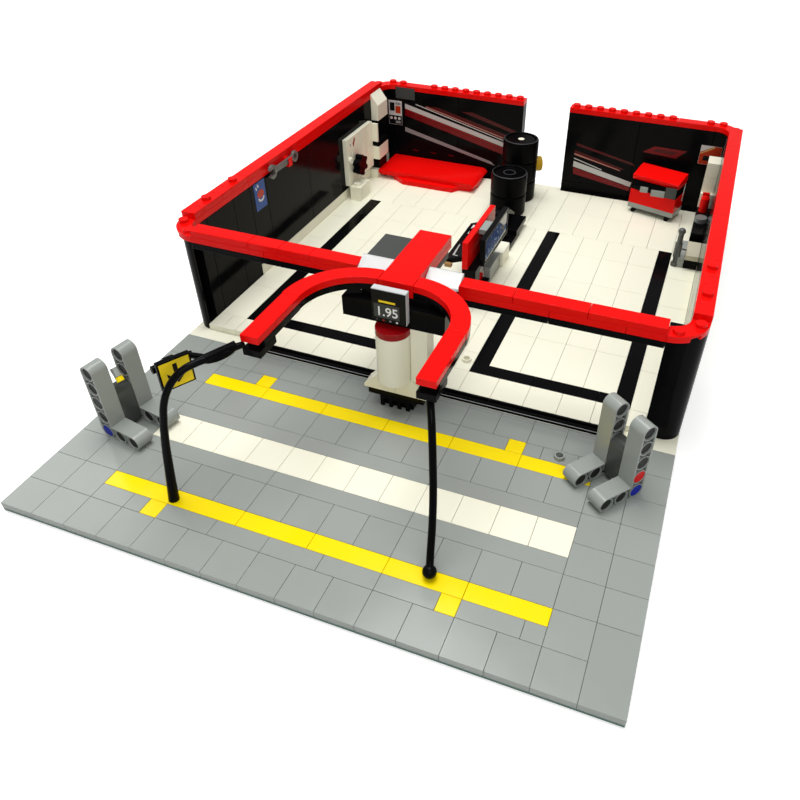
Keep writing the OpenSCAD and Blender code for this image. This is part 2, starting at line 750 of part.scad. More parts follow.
module tyre_back_top() site() color([0.1, 0.1, 0.1]) tyre_at(back_stack, 2);

module tyres_lower() site() color([0.1, 0.1, 0.1]) {
    tyre_at(front_stack, 0);
    tyre_at(back_stack, 0);
    tyre_at(back_stack, 1);
}

// Jack in front of the tyres: a pad, a body with a slope and a low round foot
module floor_jack() site() color([0.06, 0.06, 0.06]) {
    slab(mid - 1, site_d - 14, 2, 3, bay_top, plate_h);
    slab(mid - 1, site_d - 12, 2, 2.8, bay_top + plate_h, plate_h);
    translate([(mid - 1) * pitch + seam, (site_d - 13) * pitch, bay_top + 2 * plate_h]) rotate([90, 0, 90])
        linear_extrude(pitch - 2 * seam) polygon([
            [pitch, 0], [3.8 * pitch, 0], [3.8 * pitch, slope_lip], [2.2 * pitch, brick_h], [pitch, brick_h]
        ]);
    translate([mid * pitch, (site_d - 12.5) * pitch, bay_top + plate_h]) cylinder(r = pitch / 2 - seam, h = stud_h);
}

// Desk between the bays: two legs with blocks at their feet, a bridge, a sloping console and a screen frame
desk_x = mid;
desk_y = site_d - 22.6;
desk_l = 6.1;
leg_l = 1;
desk_block_l = 2.5;
bridge_z = 27.6;
bridge_top = bridge_z + plate_h;
console_w = 12.6;
console_l = 5.8;
console_drop = 4.6;
console_z = bridge_top + 1.4;
screen_l = 5.4;
screen_h = 16;
screen_t = 3;
screen_y = (desk_y + 0.8) * pitch;
screen_recess = 0.8;
screen_rim = 1.6;
spine_w = plate_h;

module desk_frame() site() color([0.06, 0.06, 0.06]) {
    back_leg = desk_y + desk_l - leg_l;
    edge = desk_x * pitch - seat;
    slab(desk_x, desk_y, 1, leg_l, bay_top, bridge_z - bay_top + 2 * seat);
    slab(desk_x, back_leg, 0.5, leg_l, bay_top, bridge_z - bay_top + 2 * seat);
    slab(desk_x, desk_y, 1, desk_l, bridge_z, plate_h);
    slab(desk_x, desk_y + leg_l, 1, back_leg + leg_l - desk_block_l - desk_y - leg_l, bay_top, plate_h);
    slab(desk_x + 0.5, back_leg + leg_l - desk_block_l, 0.5, desk_block_l, bay_top, brick_h);
    slab(desk_x + 0.5, back_leg + leg_l, 0.7, 1.75, bay_top, brick_h);
    translate([0, (desk_y + 0.8 + console_l) * pitch, 0]) rotate([90, 0, 0]) linear_extrude(console_l * pitch) polygon([
        [edge, console_z], [edge, console_z + plate_h],
        [edge - console_w, console_z + plate_h - console_drop], [edge - console_w, console_z - console_drop]
    ]);
    translate([(desk_x + 1) * pitch - seam, screen_y, bridge_top - small]) difference() {
        cube([screen_t, screen_l * pitch, screen_h]);
        translate([screen_t - screen_recess, screen_rim, screen_rim])
            cube([2, screen_l * pitch - 2 * screen_rim, screen_h - 2 * screen_rim]);
    }
}

// The red plate on edge, and the low red plate between the legs
module desk_spine() site() color("red") {
    translate([desk_x * pitch, desk_y * pitch, bridge_top]) cube([spine_w, desk_l * pitch, 2 * pitch]);
    slab(desk_x, desk_y + leg_l + 0.2, 0.5, 2.3, bay_top + plate_h, plate_h);
}

module desk_screen() site() color("steelblue") {
    inset = screen_rim + 0.1;
    translate([(desk_x + 1) * pitch - seam + screen_t - screen_recess, screen_y + inset, bridge_top + inset])
        cube([0.5, screen_l * pitch - 2 * inset, screen_h - 2 * inset]);
}

// Trolley: x along its long side, z up from the floor it rolls on
floor_gap = 0.1;
hanger_w = 2;
hanger_t = 2.6;
hanger_wall = 0.5;
axle_x = trolley_l / 2 - pitch / 2;
deck_z = floor_gap + 2 * wheel_r + 0.3;
body_z = deck_z + plate_h;
drawers_z = body_z + brick_h;
lid_z = drawers_z + 2 * plate_h;
drawer_x = [-12.6, -5.2, 2.2, 9.6];
drawer_w = 4.4;

module trolley_frame() {
    translate([trolley_at[0], trolley_at[1], bay_top]) rotate([0, 0, trolley_turn]) children();
}

module trolley_box(z, h, inset) {
    translate([-trolley_l / 2 + inset, -trolley_d / 2 + inset, z])
        cube([trolley_l - 2 * inset, trolley_d - 2 * inset, h]);
}

// Deck with two hangers for each axle
module trolley_chassis() site() color("darkgray") trolley_frame() difference() {
    reach = trolley_d / 2 - wheel_w - 0.3;
    union() {
        trolley_box(deck_z, plate_h, 0);
        for (x = [-axle_x, axle_x], y = [-reach, reach - hanger_w])
            translate([x - hanger_t / 2, y, floor_gap + wheel_r - axle_r - hanger_wall])
                cube([hanger_t, hanger_w, wheel_r + axle_r + hanger_wall + 1]);
    }
    for (x = [-axle_x, axle_x]) translate([x, 0, floor_gap + wheel_r]) rotate([90, 0, 0])
        cylinder(r = axle_r + axle_fit, h = trolley_d, center = true);
}

// Body of one brick and a lid whose top slopes to the front
module trolley_body() site() color("red") trolley_frame() {
    trolley_box(body_z, brick_h - seat, 0.1);
    translate([-trolley_l / 2 + 0.1, 0, lid_z]) rotate([90, 0, 90]) linear_extrude(trolley_l - 0.2) polygon([
        [-trolley_d / 2 + 1.6, 0], [trolley_d / 2 - 0.1, 0], [trolley_d / 2 - 0.1, 2 * plate_h],
        [trolley_d / 4, 2 * plate_h], [-trolley_d / 2 + 0.1, plate_h + 0.4], [-trolley_d / 2 + 0.1, 2]
    ]);
}

// Drawer row: a slanted front, and small fronts that stand out of its foot
module trolley_drawers() site() color([0.06, 0.06, 0.06]) trolley_frame() {
    translate([-trolley_l / 2 + 0.5, 0, drawers_z]) rotate([90, 0, 90]) linear_extrude(trolley_l - 1) polygon([
        [-trolley_d / 2 + 0.3, 0], [trolley_d / 2 - 0.5, 0], [trolley_d / 2 - 0.5, 2 * plate_h - seat],
        [-trolley_d / 2 + 1.7, 2 * plate_h - seat], [-trolley_d / 2 + 0.3, plate_h]
    ]);
    for (x = drawer_x) translate([x, -trolley_d / 2 - 0.4, drawers_z + 0.4]) cube([drawer_w, 1.6, plate_h - 0.8]);
}

module trolley_axle(x) {
    for (s = [-1, 1]) translate([x, s * (trolley_d - wheel_w) / 2, floor_gap + wheel_r]) rotate([90, 0, 0])
        cylinder(r = wheel_r, h = wheel_w, center = true);
    translate([x, 0, floor_gap + wheel_r]) rotate([90, 0, 0])
        cylinder(r = axle_r, h = trolley_d - wheel_w, center = true);
}

module trolley_wheels_front() site() color([0.1, 0.1, 0.1]) trolley_frame() trolley_axle(-axle_x);

module trolley_wheels_rear() site() color([0.1, 0.1, 0.1]) trolley_frame() trolley_axle(axle_x);

// Bench: a thick top with a bevelled right end, on a body that draws in towards both ends
bench_front = site_back - 40.5;
bench_d = 4 * pitch;
bench_from = 14.2;
bench_to = 84;
bench_end = 88;
bench_lip = 5;
bench_bulge = 4.6;

module bench() site() color("red") {
    under = bay_top + plate_h;
    top = under + plate_h;
    translate([0, bench_front + bench_d, 0]) rotate([90, 0, 0]) linear_extrude(bench_d) polygon([
        [bench_from, under + 1], [bench_from, top], [bench_to, top], [bench_to + 2.4, top - 0.7],
        [bench_end, top - 2.2], [bench_end, under], [bench_from + 3, under]
    ]);
    translate([0, bench_front, bay_top]) linear_extrude(plate_h + small) polygon([
        [bench_from + 6, bench_d - 1], [bench_from + 6, bench_lip + 6], [bench_from + 11, bench_lip - 3],
        [bench_from + 21, -bench_bulge], [bench_to - 11, -bench_bulge], [bench_to - 7, bench_lip - 4],
        [bench_to + 1, bench_lip - 3], [bench_end, bench_lip + 6], [bench_end - 2, bench_d - 1]
    ]);
}

// Service wall on the left: a ribbed cupboard, the brick before it, and the column behind it
cupboard_y = site_d - 10.2;
cupboard_l = 5;
cupboard_z = bay_top + brick_h;
cupboard_h = 4 * pitch;
cupboard_t = plate_h;
rib_gap = 0.8;
hand_wheel_at = [pitch + cupboard_t + 1.2, site_back - 71, cupboard_z + 12.3];
hand_wheel_t = 5;
spindle_cap = 1.2;
column_y = site_d - 5.2;
bin_z = bay_top + 4.5 * plate_h;
upright_z = bin_z + brick_h + plate_h;
upright_h = 4 * plate_h;
upright_t = 1.6;
tall_z = upright_z + upright_h;
tall_w = 5.4;
tall_slope = 7;

module service_wall() site() color("white") {
    difference() {
        slab(1, cupboard_y, cupboard_t / pitch, cupboard_l, cupboard_z, cupboard_h);
        for (y = [1 : cupboard_l - 1])
            translate([pitch + cupboard_t - 0.6, (cupboard_y + y) * pitch - rib_gap / 2, cupboard_z + 2])
                cube([2, rib_gap, cupboard_h - 4]);
    }
    translate([pitch + cupboard_t - 1, hand_wheel_at[1], hand_wheel_at[2]]) rotate([0, 90, 0])
        cylinder(r = spindle_r, h = hand_wheel_at[0] - pitch - cupboard_t + 1 + hand_wheel_t - spindle_cap - 0.2);
    studded(1 + cupboard_t / pitch, cupboard_y, 1, 2, bay_top, brick_h);
    slab(1, column_y, 0.75, 2, bay_top, 2 * plate_h);
    slab(1, column_y + 0.4, 0.8, 1.6, bay_top + 2 * plate_h, bin_z - bay_top - 2 * plate_h);
    slab(1, column_y, 1, 2, bin_z, brick_h);
    slab(1, column_y, 1, 2, bin_z + brick_h, plate_h);
    translate([pitch + seam / 2, column_y * pitch + seam, upright_z - seat]) cube([pitch - 1, upright_t, upright_h]);
    translate([0, (column_y + 2.8) * pitch, 0]) rotate([90, 0, 0]) linear_extrude(2 * pitch) polygon([
        [pitch + seam / 2, tall_z], [pitch + tall_w, tall_z],
        [pitch + tall_w, tall_z + brick_h + 1], [pitch + seam / 2, tall_z + brick_h + 1 + tall_slope]
    ]);
}

module hand_wheel() site() color([0.1, 0.1, 0.1]) translate(hand_wheel_at) rotate([0, 90, 0]) difference() {
    union() {
        cylinder(r = wheel_reach - lobe_r - 0.6, h = hand_wheel_t);
        for (k = [0 : lobe_count - 1]) rotate([0, 0, 360 * k / lobe_count])
            translate([wheel_reach - lobe_r, 0, 0]) cylinder(r = lobe_r, h = hand_wheel_t);
    }
    translate([0, 0, -1]) cylinder(r = spindle_r + spindle_fit, h = hand_wheel_t + 1 - spindle_cap);
}

// Wrench on the left rim: a flat bar with an open jaw and a ringed end, held by a clip
wrench_x = pitch + 1.4;
wrench_from = (pit_d + 10) * pitch + 1;
wrench_to = wrench_from + 4 * pitch;
wrench_z = wall_top + 0.9;
clip_air = 0.3;
wrench_t = 1.6;
shank_h = 3;
jaw_r = 4;
ring_end_r = 3.2;

module wrench() site() color("silver") translate([wrench_x, 0, wrench_z]) rotate([90, 0, 90]) difference() {
    linear_extrude(wrench_t) union() {
        translate([wrench_from + jaw_r, -shank_h / 2]) square([wrench_to - wrench_from - jaw_r - ring_end_r, shank_h]);
        translate([wrench_from + jaw_r, 0]) circle(r = jaw_r);
        translate([wrench_to - ring_end_r, 0]) circle(r = ring_end_r);
    }
    translate([wrench_from - 1, -1.6, -1]) cube([jaw_r + 2.4, 3.2, wrench_t + 2]);
    translate([wrench_to - ring_end_r, 0, -1]) cylinder(r = stud_bore_r, h = wrench_t + 2);
}

// The clip: a foot on the wall and two fingers above and below the shank
module wrench_clip() site() color("red") {
    y = (wrench_from + wrench_to) / 2 + 6;
    z = wrench_z - shank_h / 2 - clip_air;
    difference() {
        block([pitch, y - 2, z - 1.4], [wrench_x + wrench_t + 0.6, y + 2, z + shank_h + 2 * clip_air]);
        block([wrench_x - 0.3, y - 3, z], [wrench_x + wrench_t + 0.3, y + 3, z + shank_h + 3]);
    }
}

// Right wall: a low desk with its top plate, and a counter with a thin top
counter_x = wall_in - 1;
counter_top = bay_top + brick_h + plate_h;

module side_counter() site() color([0.06, 0.06, 0.06]) {
    slab(counter_x, site_d - 11.6, 1, 2.2, bay_top, 2 * plate_h);
    slab(counter_x, site_d - 11.8, 1, 2.4, bay_top + 2 * plate_h, plate_h);
    slab(counter_x, site_d - 8.6, 1, 7, bay_top, brick_h);
    slab(counter_x, site_d - 8.8, 1, 7.4, bay_top + brick_h, plate_h);
    translate([(counter_x + 0.5) * pitch, (site_d - 6.6) * pitch, counter_top]) cylinder(r = pitch / 2 - seam, h = plate_h);
}

module side_boxes() site() color("white") {
    slab(counter_x, site_d - 4, 1, 2, counter_top, brick_h);
    slab(counter_x, site_d - 3.6, 1, 1.6, counter_top + brick_h, brick_h);
    slab(counter_x, site_d - 3.6, 1, 1.6, counter_top + 2 * brick_h, brick_h);
}

// Round bar that stands by the desk, with a ball at its top
tool_bar_h = 22;

module tool_bar() site() color("silver") translate([site_right - 21, site_back - 91, bay_top]) {
    cylinder(r = stud_r, h = 2);
    cylinder(r = hose_r, h = tool_bar_h);
    translate([0, 0, 6]) cylinder(r = 2.2, h = 9);
    translate([0, 0, tool_bar_h + 0.6]) sphere(r = 2.2, $fn = 24);
}

// Extinguisher on the counter: a bottle, its neck and its handle
bottle_r = 2.8;
bottle_h = 9;

module extinguisher() site() color("red") translate([(counter_x + 0.5) * pitch, (site_d - 4.6) * pitch, counter_top]) {
    cylinder(r = bottle_r, h = bottle_h);
    translate([0, 0, bottle_h - small]) cylinder(r1 = bottle_r, r2 = 1.6, h = 2);
    translate([-2.4, -0.8, bottle_h + 1.8]) cube([4.4, 1.6, 1.8]);
}

pit_baseplate();
garage_baseplate();
pit_tiles_grey();
pit_tiles_yellow();
pit_tiles_white();
floor_plates();
bay_tiles_white();
bay_lines_black();
door_rail();
corner_panel_left();
corner_panel_right();
side_wall_left();
side_wall_right();
back_wall_left();
back_wall_right();
wall_foot_course();
rim_left();
rim_right();
rim_back();
front_beam_left();
front_beam_right();
beam_underplates();
gantry_left();
gantry_right();
gantry_bar();
gantry_frame();
roof_slopes();
roof_tile();
display_tile();
pillar_cap();
fuel_pillar();
pillar_plinth();
hose_left();
hose_right();
sign();
stand_left_beams();
stand_left_core();
stand_right_beams();
stand_right_core();
tyre_front_top();
tyre_back_top();
tyres_lower();
floor_jack();
desk_frame();
desk_spine();
desk_screen();
trolley_chassis();
trolley_body();
trolley_drawers();
trolley_wheels_front();
trolley_wheels_rear();
bench();
service_wall();
hand_wheel();
wrench();
wrench_clip();
side_counter();
side_boxes();
tool_bar();
extinguisher();
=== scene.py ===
import json
import math
import random

import bmesh
import bpy
from mathutils import Matrix, Vector


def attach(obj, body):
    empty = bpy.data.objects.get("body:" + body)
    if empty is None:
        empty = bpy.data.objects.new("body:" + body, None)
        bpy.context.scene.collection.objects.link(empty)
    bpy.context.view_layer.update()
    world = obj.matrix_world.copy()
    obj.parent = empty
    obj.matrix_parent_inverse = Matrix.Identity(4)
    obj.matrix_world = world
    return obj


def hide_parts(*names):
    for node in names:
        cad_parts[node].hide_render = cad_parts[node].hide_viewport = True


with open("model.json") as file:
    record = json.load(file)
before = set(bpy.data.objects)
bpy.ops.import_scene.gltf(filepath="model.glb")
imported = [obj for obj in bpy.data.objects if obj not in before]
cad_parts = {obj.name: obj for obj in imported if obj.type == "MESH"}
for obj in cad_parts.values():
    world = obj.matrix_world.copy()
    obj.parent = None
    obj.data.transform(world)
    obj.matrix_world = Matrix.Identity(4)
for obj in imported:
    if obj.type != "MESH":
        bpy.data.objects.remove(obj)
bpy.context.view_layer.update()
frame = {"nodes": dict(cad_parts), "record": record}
nodes = frame["nodes"]
slotOf = {row["node"]: row["material_slot"] for row in frame["record"]["subparts"]}
bodyOf = {node: body for body, members in frame["record"]["behaviour"]["bodies"].items() for node in members}
mm = 0.001
siteMiddle = (128, 192, 0)  # the frame's zero, in millimetres from the pit lane's front left corner
weld = 1e-6  # corners closer than this, in metres, become one
random.seed(7)


def at(x, y, z):  # a place counted in millimetres from the pit lane's front left corner
    return Vector([(value - zero) * mm for value, zero in zip((x, y, z), siteMiddle)])


def spanOf(node, axis):  # how far a CAD node reaches along one axis, in the same millimetres
    values = [v.co[axis] / mm + siteMiddle[axis] for v in nodes[node].data.vertices]
    return min(values), max(values)


# camera
cameraSet = {
    "place": (0.110155, -0.317003, 0.232629),
    "right": (0.936828, 0.349628, 0.010636),
    "up": (-0.230864, 0.595184, 0.769713),
    "back": (0.262782, -0.723544, 0.638302),
    "lens": 32.827,
    "sensor": 36,
    "clip": 0.01,
    "shift": (-0.05526, -0.01286),
}


def makeCamera(s):
    data = bpy.data.cameras.new("camera")
    data.lens = s["lens"]
    data.sensor_width = s["sensor"]
    data.shift_x, data.shift_y = s["shift"]
    data.clip_start = s["clip"]
    camera = bpy.data.objects.new("camera", data)
    bpy.context.scene.collection.objects.link(camera)
    turn = Matrix((s["right"], s["up"], s["back"])).transposed()
    camera.matrix_world = Matrix.Translation(s["place"]) @ turn.to_4x4()
    bpy.context.scene.camera = camera


makeCamera(cameraSet)
print("camera ready")


# finishes
def link(tree, a, b):
    tree.links.new(a, b)


def noiseNode(tree, coords, scale, detail=3.0, rough=0.5):
    n = tree.nodes.new("ShaderNodeTexNoise")
    n.inputs["Scale"].default_value = scale
    n.inputs["Detail"].default_value = detail
    n.inputs["Roughness"].default_value = rough
    link(tree, coords, n.inputs["Vector"])
    return n.outputs["Fac"]


def rangeNode(tree, value, low, high, fromLow=0.0, fromHigh=1.0):
    n = tree.nodes.new("ShaderNodeMapRange")
    n.inputs["From Min"].default_value = fromLow
    n.inputs["From Max"].default_value = fromHigh
    n.inputs["To Min"].default_value = low
    n.inputs["To Max"].default_value = high
    link(tree, value, n.inputs["Value"])
    return n.outputs["Result"]


moulding = {  # what every plastic has: patterns as scale, detail and roughness, depths in millimetres
    "cloud": (38, 4),
    "smear": (90, 5, 0.65),
    "smearSpan": (0.42, 0.8),
    "swell": (110, 1),
    "swellDeep": 1.0,
    "pores": (2600, 2),
    "poresDeep": 0.1,
    "ior": 1.52,
}


def bumpNode(tree, coords, pattern, strength, deep):
    n = tree.nodes.new("ShaderNodeBump")
    n.inputs["Strength"].default_value = strength
    n.inputs["Distance"].default_value = deep * mm
    link(tree, noiseNode(tree, coords, *pattern), n.inputs["Height"])
    return n


def plastic(name, colour, rough=0.16, vary=0.04, wave=0.05, grain=0.02, smudge=0.1, spec=0.5):
    material = bpy.data.materials.new(name)
    material.use_nodes = True
    tree = material.node_tree
    shader = tree.nodes["Principled BSDF"]
    coords = tree.nodes.new("ShaderNodeTexCoord").outputs["Object"]
    tone = tree.nodes.new("ShaderNodeAttribute")  # one value for each brick
    tone.attribute_name = "tone"
    cloud = noiseNode(tree, coords, *moulding["cloud"])
    both = tree.nodes.new("ShaderNodeMath")
    both.operation = "ADD"
    link(tree, rangeNode(tree, tone.outputs["Fac"], 1 - vary, 1 + vary), both.inputs[0])
    link(tree, rangeNode(tree, cloud, -vary / 2, vary / 2), both.inputs[1])
    tint = tree.nodes.new("ShaderNodeVectorMath")
    tint.operation = "SCALE"
    tint.inputs[0].default_value = colour
    link(tree, both.outputs[0], tint.inputs["Scale"])
    link(tree, tint.outputs[0], shader.inputs["Base Color"])
    smear = noiseNode(tree, coords, *moulding["smear"])
    smeared = rangeNode(tree, smear, rough, rough + smudge, *moulding["smearSpan"])
    link(tree, smeared, shader.inputs["Roughness"])
    shader.inputs["Specular IOR Level"].default_value = spec
    shader.inputs["IOR"].default_value = moulding["ior"]
    swell = bumpNode(tree, coords, moulding["swell"], wave, moulding["swellDeep"])  # never quite flat
    pores = bumpNode(tree, coords, moulding["pores"], grain, moulding["poresDeep"])
    link(tree, swell.outputs[0], pores.inputs["Normal"])
    link(tree, pores.outputs[0], shader.inputs["Normal"])
    return material


clearSet = {"roof": (0.93, 0.95, 0.94), "smoked": (0.28, 0.31, 0.30), "through": 0.45, "ior": 1.45}


def clearPlastic(name, colour):
    material = plastic(name, colour, rough=0.16, vary=0.01, wave=0.2, smudge=0.1)
    shader = material.node_tree.nodes["Principled BSDF"]
    shader.inputs["Transmission Weight"].default_value = clearSet["through"]
    shader.inputs["IOR"].default_value = clearSet["ior"]
    return material


screenSet = {
    "field": (0.004, 0.052, 0.25),
    "specks": (0.30, 0.50, 0.72, 1),
    "pattern": (420, 3, 0.7),
    "span": (0.585, 0.64),
}


def screenFace(name, s):  # a printed blue chart with pale specks
    material = plastic(name, s["field"], rough=0.12, vary=0.5, spec=0.06)
    tree = material.node_tree
    shader = tree.nodes["Principled BSDF"]
    deep = shader.inputs["Base Color"].links[0].from_socket
    coords = tree.nodes.new("ShaderNodeTexCoord").outputs["Object"]
    mix = tree.nodes.new("ShaderNodeMix")
    mix.data_type = "RGBA"
    mix.inputs["B"].default_value = s["specks"]
    link(tree, deep, mix.inputs["A"])
    specks = rangeNode(tree, noiseNode(tree, coords, *s["pattern"]), 0, 1, *s["span"])
    link(tree, specks, mix.inputs["Factor"])
    link(tree, mix.outputs["Result"], shader.inputs["Base Color"])
    return material


finishes = {
    "black_plastic": plastic(
        "blackPlastic", (0.003, 0.003, 0.0035), rough=0.1, vary=0.2, wave=0.01, spec=0.05),
    "red_plastic": plastic("redPlastic", (0.82, 0.004, 0.003), rough=0.14, vary=0.015, wave=0.01, spec=0.1),
    "dark_red_plastic": plastic("darkRedPlastic", (0.28, 0.002, 0.004), rough=0.16, wave=0.01, spec=0.25),
    "white_plastic": plastic(
        "whitePlastic", (0.90, 0.885, 0.72), rough=0.18, vary=0.006, wave=0.006, spec=0.2, smudge=0.05),
    "light_grey_plastic": plastic(
        "lightGreyPlastic", (0.318, 0.342, 0.318), rough=0.13, vary=0.03, wave=0.014, spec=0.28),
    "dark_grey_plastic": plastic("darkGreyPlastic", (0.06, 0.065, 0.06), rough=0.2, wave=0.01, spec=0.3),
    "yellow_plastic": plastic(
        "yellowPlastic", (0.98, 0.75, 0.002), rough=0.15, vary=0.015, wave=0.01, spec=0.2),
    "green_plastic": plastic("greenPlastic", (0.05, 0.13, 0.10), rough=0.3),
    "blue_screen": screenFace("blueScreen", screenSet),
    "clear_plastic": clearPlastic("clearPlastic", clearSet["roof"]),
    "silver_plastic": plastic("silverPlastic", (0.095, 0.10, 0.095), rough=0.24, spec=0.5),
    "tyre_rubber": plastic(
        "tyreRubber", (0.002, 0.002, 0.0022), rough=0.28, vary=0.1, grain=0.1, spec=0.035),
}
print("finishes ready")


# pieces
def islandsOf(bm):  # the loose bricks of a mesh, one after the other
    bm.verts.ensure_lookup_table()
    seen = set()
    for start in bm.verts:
        if start in seen:
            continue
        seen.add(start)
        island, front = [], [start]
        while front:
            v = front.pop()
            island.append(v)
            for e in v.link_edges:
                w = e.other_vert(v)
                if w not in seen:
                    seen.add(w)
                    front.append(w)
        yield island


def settle(bm, tilt):  # each brick gets its own tone and sits a hair out of true
    tone = bm.verts.layers.float.new("tone")
    for island in islandsOf(bm):
        value = random.random()
        middle = sum((v.co for v in island), Vector()) / len(island)
        leanX, leanY = (math.radians(random.uniform(-tilt, tilt)) for axis in "XY")
        lean = Matrix.Rotation(leanX, 3, "X") @ Matrix.Rotation(leanY, 3, "Y")
        for v in island:
            v[tone] = value
            if tilt:
                v.co = middle + lean @ (v.co - middle)


def finishPiece(bm, name, body, slot, material=None, bevel=0.0, segments=2, tilt=0.0, angle=30):
    settle(bm, tilt)
    mesh = bpy.data.meshes.new(name)
    bm.to_mesh(mesh)
    bm.free()
    piece = bpy.data.objects.new(name, mesh)
    bpy.context.scene.collection.objects.link(piece)
    mesh.shade_smooth()
    if bevel:
        edge = piece.modifiers.new("edges", "BEVEL")
        edge.width = bevel * mm
        edge.segments = segments
        edge.limit_method = "ANGLE"
        edge.angle_limit = math.radians(angle)
        edge.harden_normals = True
        even = piece.modifiers.new("evenFaces", "WEIGHTED_NORMAL")
        even.weight = 100  # the largest face leads
    else:
        mesh.set_sharp_from_angle(angle=math.radians(angle))
    mesh.materials.append(material or finishes[slot])
    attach(piece, body)
    return piece


def solidOf(node, flat=0.6):  # a CAD node's mesh with its loose triangles joined into clean faces
    bm = bmesh.new()
    bm.from_mesh(nodes[node].data)
    bmesh.ops.remove_doubles(bm, verts=bm.verts, dist=2 * weld)
    bmesh.ops.dissolve_limit(bm, angle_limit=math.radians(flat), verts=bm.verts, edges=bm.edges)
    return bm


def dress(node, bevel, tilt=0.0, material=None):
    name = node + "_piece"
    piece = finishPiece(solidOf(node), name, bodyOf[node], slotOf[node], material, bevel, tilt=tilt)
    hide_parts(node)


def inside(island, spans):  # whether a loose brick's middle lies within three spans
    for axis, (low, high) in enumerate(spans):
        values = [v.co[axis] for v in island]
        middle = (min(values) + max(values)) / 2
        edge = at(low, low, low)[axis], at(high, high, high)[axis]
        if not edge[0] <= middle <= edge[1]:
            return False
    return True


def dressMixed(node, s):  # one node whose loose bricks have more than one colour
    whole = solidOf(node)
    whole.verts.index_update()
    chosen = {}
    for island in islandsOf(whole):
        part = next((name for name, row in s["parts"].items() if inside(island, row["spans"])), None)
        chosen.setdefault(part, set()).update(v.index for v in island)
    for part, kept in chosen.items():
        bm = whole.copy()
        bm.verts.ensure_lookup_table()
        bmesh.ops.delete(bm, geom=[v for v in bm.verts if v.index not in kept], context="VERTS")
        row = s["parts"].get(part, {})
        slot = row.get("slot", slotOf[node])
        name = node + "_piece" + ("_" + part if part else "")
        piece = finishPiece(bm, name, bodyOf[node], slot, row.get("material"), s["bevel"])
        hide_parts(node)
    whole.free()


anywhere = (-10, 400)  # a span wider than the whole site
cream = plastic("creamPlastic", (0.60, 0.56, 0.42), rough=0.2, vary=0.02, spec=0.3)
smokedGlass = clearPlastic("smokedGlass", clearSet["smoked"])
counterTop = {"slot": "white_plastic", "material": cream, "spans": (anywhere, (289, 309), (15, 17))}
counterDome = {"slot": "clear_plastic", "material": smokedGlass, "spans": (anywhere, (327, 336), (21, 24))}
mixedBricks = {  # the bricks that differ, with the spans on x, y and z that hold their middles
    "service_wall": {"bevel": 0.2, "parts": {
        "black": {"slot": "black_plastic", "spans": (anywhere, anywhere, (17, 19))}}},
    "side_counter": {"bevel": 0.2, "parts": {"top": counterTop, "dome": counterDome}},
    "desk_frame": {"bevel": 0.2, "parts": {
        "grey": {"slot": "light_grey_plastic", "spans": (anywhere, (232, 252), (12, 13))},
        "white": {"slot": "white_plastic", "spans": (anywhere, (252, 266), (12, 13))}}},
}

groundBricks = {  # node: bevel in millimetres, tilt in degrees
    "pit_baseplate": (0.2, 0),
    "garage_baseplate": (0.2, 0),
    "pit_tiles_grey": (0.16, 0.12),
    "pit_tiles_yellow": (0.16, 0.12),
    "pit_tiles_white": (0.12, 0.04),
    "floor_plates": (0.16, 0),
    "bay_tiles_white": (0.1, 0.02),
    "bay_lines_black": (0.12, 0.05),
    "door_rail": (0.12, 0),
}
wallBricks = {
    "corner_panel_left": (0.2, 0), "corner_panel_right": (0.2, 0),
    "side_wall_left": (0.2, 0.06), "side_wall_right": (0.2, 0.06),
    "back_wall_left": (0.2, 0.06), "back_wall_right": (0.2, 0.06), "wall_foot_course": (0.2, 0),
    "rim_left": (0.2, 0), "rim_right": (0.2, 0), "rim_back": (0.2, 0),
    "front_beam_left": (0.2, 0), "front_beam_right": (0.2, 0), "beam_underplates": (0.2, 0),
    "gantry_left": (0.2, 0), "gantry_right": (0.2, 0), "gantry_bar": (0.2, 0), "gantry_frame": (0.2, 0),
    "roof_slopes": (0.2, 0), "roof_tile": (0.2, 0),
}
yardBricks = {
    "pillar_cap": (0.2, 0), "fuel_pillar": (0.2, 0), "pillar_plinth": (0.15, 0),
    "stand_left_beams": (0.12, 0), "stand_left_core": (0.15, 0),
    "stand_right_beams": (0.12, 0), "stand_right_core": (0.15, 0),
    "floor_jack": (0.15, 0), "desk_spine": (0.2, 0), "desk_screen": (0.1, 0),
    "trolley_chassis": (0.15, 0), "trolley_body": (0.2, 0), "trolley_drawers": (0.15, 0),
    "trolley_wheels_front": (0.15, 0), "trolley_wheels_rear": (0.15, 0),
    "bench": (0.25, 0), "hand_wheel": (0.2, 0), "wrench": (0.15, 0), "wrench_clip": (0.12, 0),
    "side_boxes": (0.2, 0), "tool_bar": (0.1, 0), "extinguisher": (0.15, 0),
}
printedPlates = {  # node: bevel, material
    "sign": (0.15, finishes["black_plastic"]),
    "display_tile": (0.2, plastic("paleGreyPlastic", (0.60, 0.61, 0.62), rough=0.2, spec=0.2)),
}
for group in (groundBricks, wallBricks, yardBricks):
    for node, (bevel, tilt) in group.items():
        dress(node, bevel, tilt)
    print("dressed", len(group), "nodes")
for node, s in mixedBricks.items():
    dressMixed(node, s)
for node, (bevel, material) in printedPlates.items():
    dress(node, bevel, material=material)
print("dressed", len(mixedBricks) + len(printedPlates), "nodes of mixed colour or with a print")


